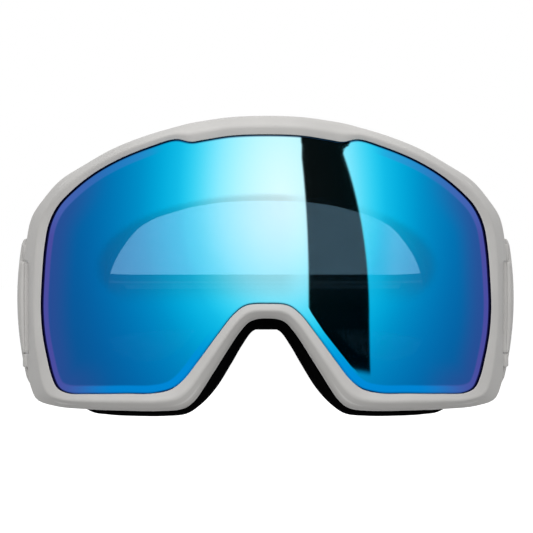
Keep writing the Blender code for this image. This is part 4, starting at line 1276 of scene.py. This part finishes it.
# ---------------------------------------------------------------- studio
def make_floor():
    bm = bmesh.new()
    bmesh.ops.create_grid(bm, x_segments=1, y_segments=1, size=FLOOR_SIZE)
    mesh = bpy.data.meshes.new("floor")
    bm.to_mesh(mesh)
    bm.free()
    look = Look("floor", (0.86, 0.86, 0.86), 0.9)
    look.set("Specular IOR Level", 0.0)
    look.set("Emission Color", rgb(1.0, 1.0, 1.0))
    look.set("Emission Strength", 0.70)
    mesh.materials.append(look.material)
    floor = bpy.data.objects.new("floor", mesh)
    floor.location.z = FLOOR_Z * MM
    floor.visible_glossy = False
    floor.visible_diffuse = False
    bpy.context.scene.collection.objects.link(floor)


def make_world():
    """White surroundings, and for reflections two wide softboxes with a dark gap between them."""
    world = bpy.data.worlds.new("studio")
    bpy.context.scene.world = world
    world.use_nodes = True
    world.cycles.sampling_method = "NONE"
    world.node_tree.nodes.clear()
    nodes = Nodes(world.node_tree)
    calc = nodes.math

    def background(strength):
        return nodes.node("Background", {"Color": rgb(1, 1, 1), "Strength": strength}).outputs[0]

    parts = nodes.node("SeparateXYZ", {0: nodes.node("TexCoord").outputs["Generated"]})
    x, y, z = (parts.outputs[k] for k in "XYZ")
    sideways = calc("DEGREES", calc("ARCSINE", x))
    height = calc("DEGREES", calc("ARCSINE", z))
    level = calc("MINIMUM", height, GAP_LEVEL)
    sides = []
    for angle, widest, bow in (GAP_LEFT, GAP_RIGHT):
        rise = calc("MAXIMUM", calc("SUBTRACT", level, widest), 0.0)
        sides.append(calc("SUBTRACT", angle, nodes.product(calc("POWER", rise, 2.0), bow)))
    past_left = calc("MULTIPLY", calc("SUBTRACT", sideways, sides[0]), GAP_SOFTNESS, clamp=True)
    before_right = calc("MULTIPLY", calc("SUBTRACT", sides[1], sideways), GAP_SOFTNESS, clamp=True)
    above_bottom = calc("MULTIPLY", calc("SUBTRACT", height, GAP_BOTTOM), GAP_SOFTNESS, clamp=True)
    gap = nodes.product(past_left, before_right, nodes.product(above_bottom, calc("LESS_THAN", y, 0.35)))
    softbox = calc("SUBTRACT", SOFTBOX_LIGHT, nodes.product(gap, SOFTBOX_LIGHT - GAP_LIGHT))
    sky = nodes.node("MapRange", {"Value": z, "From Min": -1.0, "From Max": 1.0,
                                  "To Min": AMBIENT[0], "To Max": AMBIENT[1]})
    path = nodes.node("LightPath").outputs
    unseen = nodes.node("MixShader", {0: path["Is Glossy Ray"], 1: background(sky.outputs[0]),
                                      2: background(softbox)})
    whole = nodes.node("MixShader", {0: path["Is Camera Ray"], 1: unseen.outputs[0], 2: background(1.0)})
    nodes.node("OutputWorld", {"Surface": whole.outputs[0]})


def make_lamps():
    for name, place, aim, size, power in LAMPS:
        lamp = bpy.data.lights.new(name, "AREA")
        lamp.shape = "RECTANGLE"
        lamp.size, lamp.size_y = size
        lamp.energy = power
        made = bpy.data.objects.new(name, lamp)
        made.location = place
        made.rotation_euler = (Vector(aim) - Vector(place)).to_track_quat("-Z", "Y").to_euler()
        made.visible_camera = False
        made.visible_glossy = False
        bpy.context.scene.collection.objects.link(made)


def make_camera():
    camera = bpy.data.cameras.new("camera")
    camera.sensor_width = SENSOR
    camera.lens = SENSOR * PIXELS_PER_MM * CAMERA_DISTANCE / IMAGE_WIDTH
    camera.clip_start = 0.01
    made = bpy.data.objects.new("camera", camera)
    turn = math.radians(CAMERA_AZIMUTH)
    aim = Vector((CAMERA_SHIFT, -SEAL_DEPTH, 0)) * MM
    made.location = aim + Vector((math.sin(turn), -math.cos(turn), 0)) * CAMERA_DISTANCE * MM
    made.rotation_euler = (aim - made.location).to_track_quat("-Z", "Y").to_euler()
    bpy.context.scene.collection.objects.link(made)
    bpy.context.scene.camera = made


# ---------------------------------------------------------------- the whole
make_camera()
make_floor()
make_world()
make_lamps()
bpy.context.scene.view_settings.view_transform = "Standard"

grey = grey_shell_look()
open_cell = foam_look("open_cell_foam", (0.0026, 0.0026, 0.0029), 0.7)
soft_foam = foam_look("soft_foam", (0.0032, 0.0032, 0.0035), 0.4)
dark_plastic = dark_plastic_look()
webbing = webbing_look()

make_shell(grey)
make_lenses(mirror_look(), clear_look("lens_back", (0.70, 0.88, 1.0), 0.06),
            clear_look("clear_lens", (0.74, 0.91, 1.0), 0.08))
spacer = skin("lens_gasket", ring_rings(spacer_section), loop=True)
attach(finish_piece("lens_gasket", spacer, open_cell, ["lens_spacer"]), "root")
plate = skin("plate", ring_rings(plate_section), loop=True)
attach(finish_piece("plate", plate, dark_plastic, ["face_plate"]), "root")
make_foam(open_cell, soft_foam, fleece_look())
make_vent_foam(open_cell)
make_outriggers(grey, steel_look())
make_strap(webbing, silicone_look())
make_sliders(dark_plastic, webbing, thread_look())
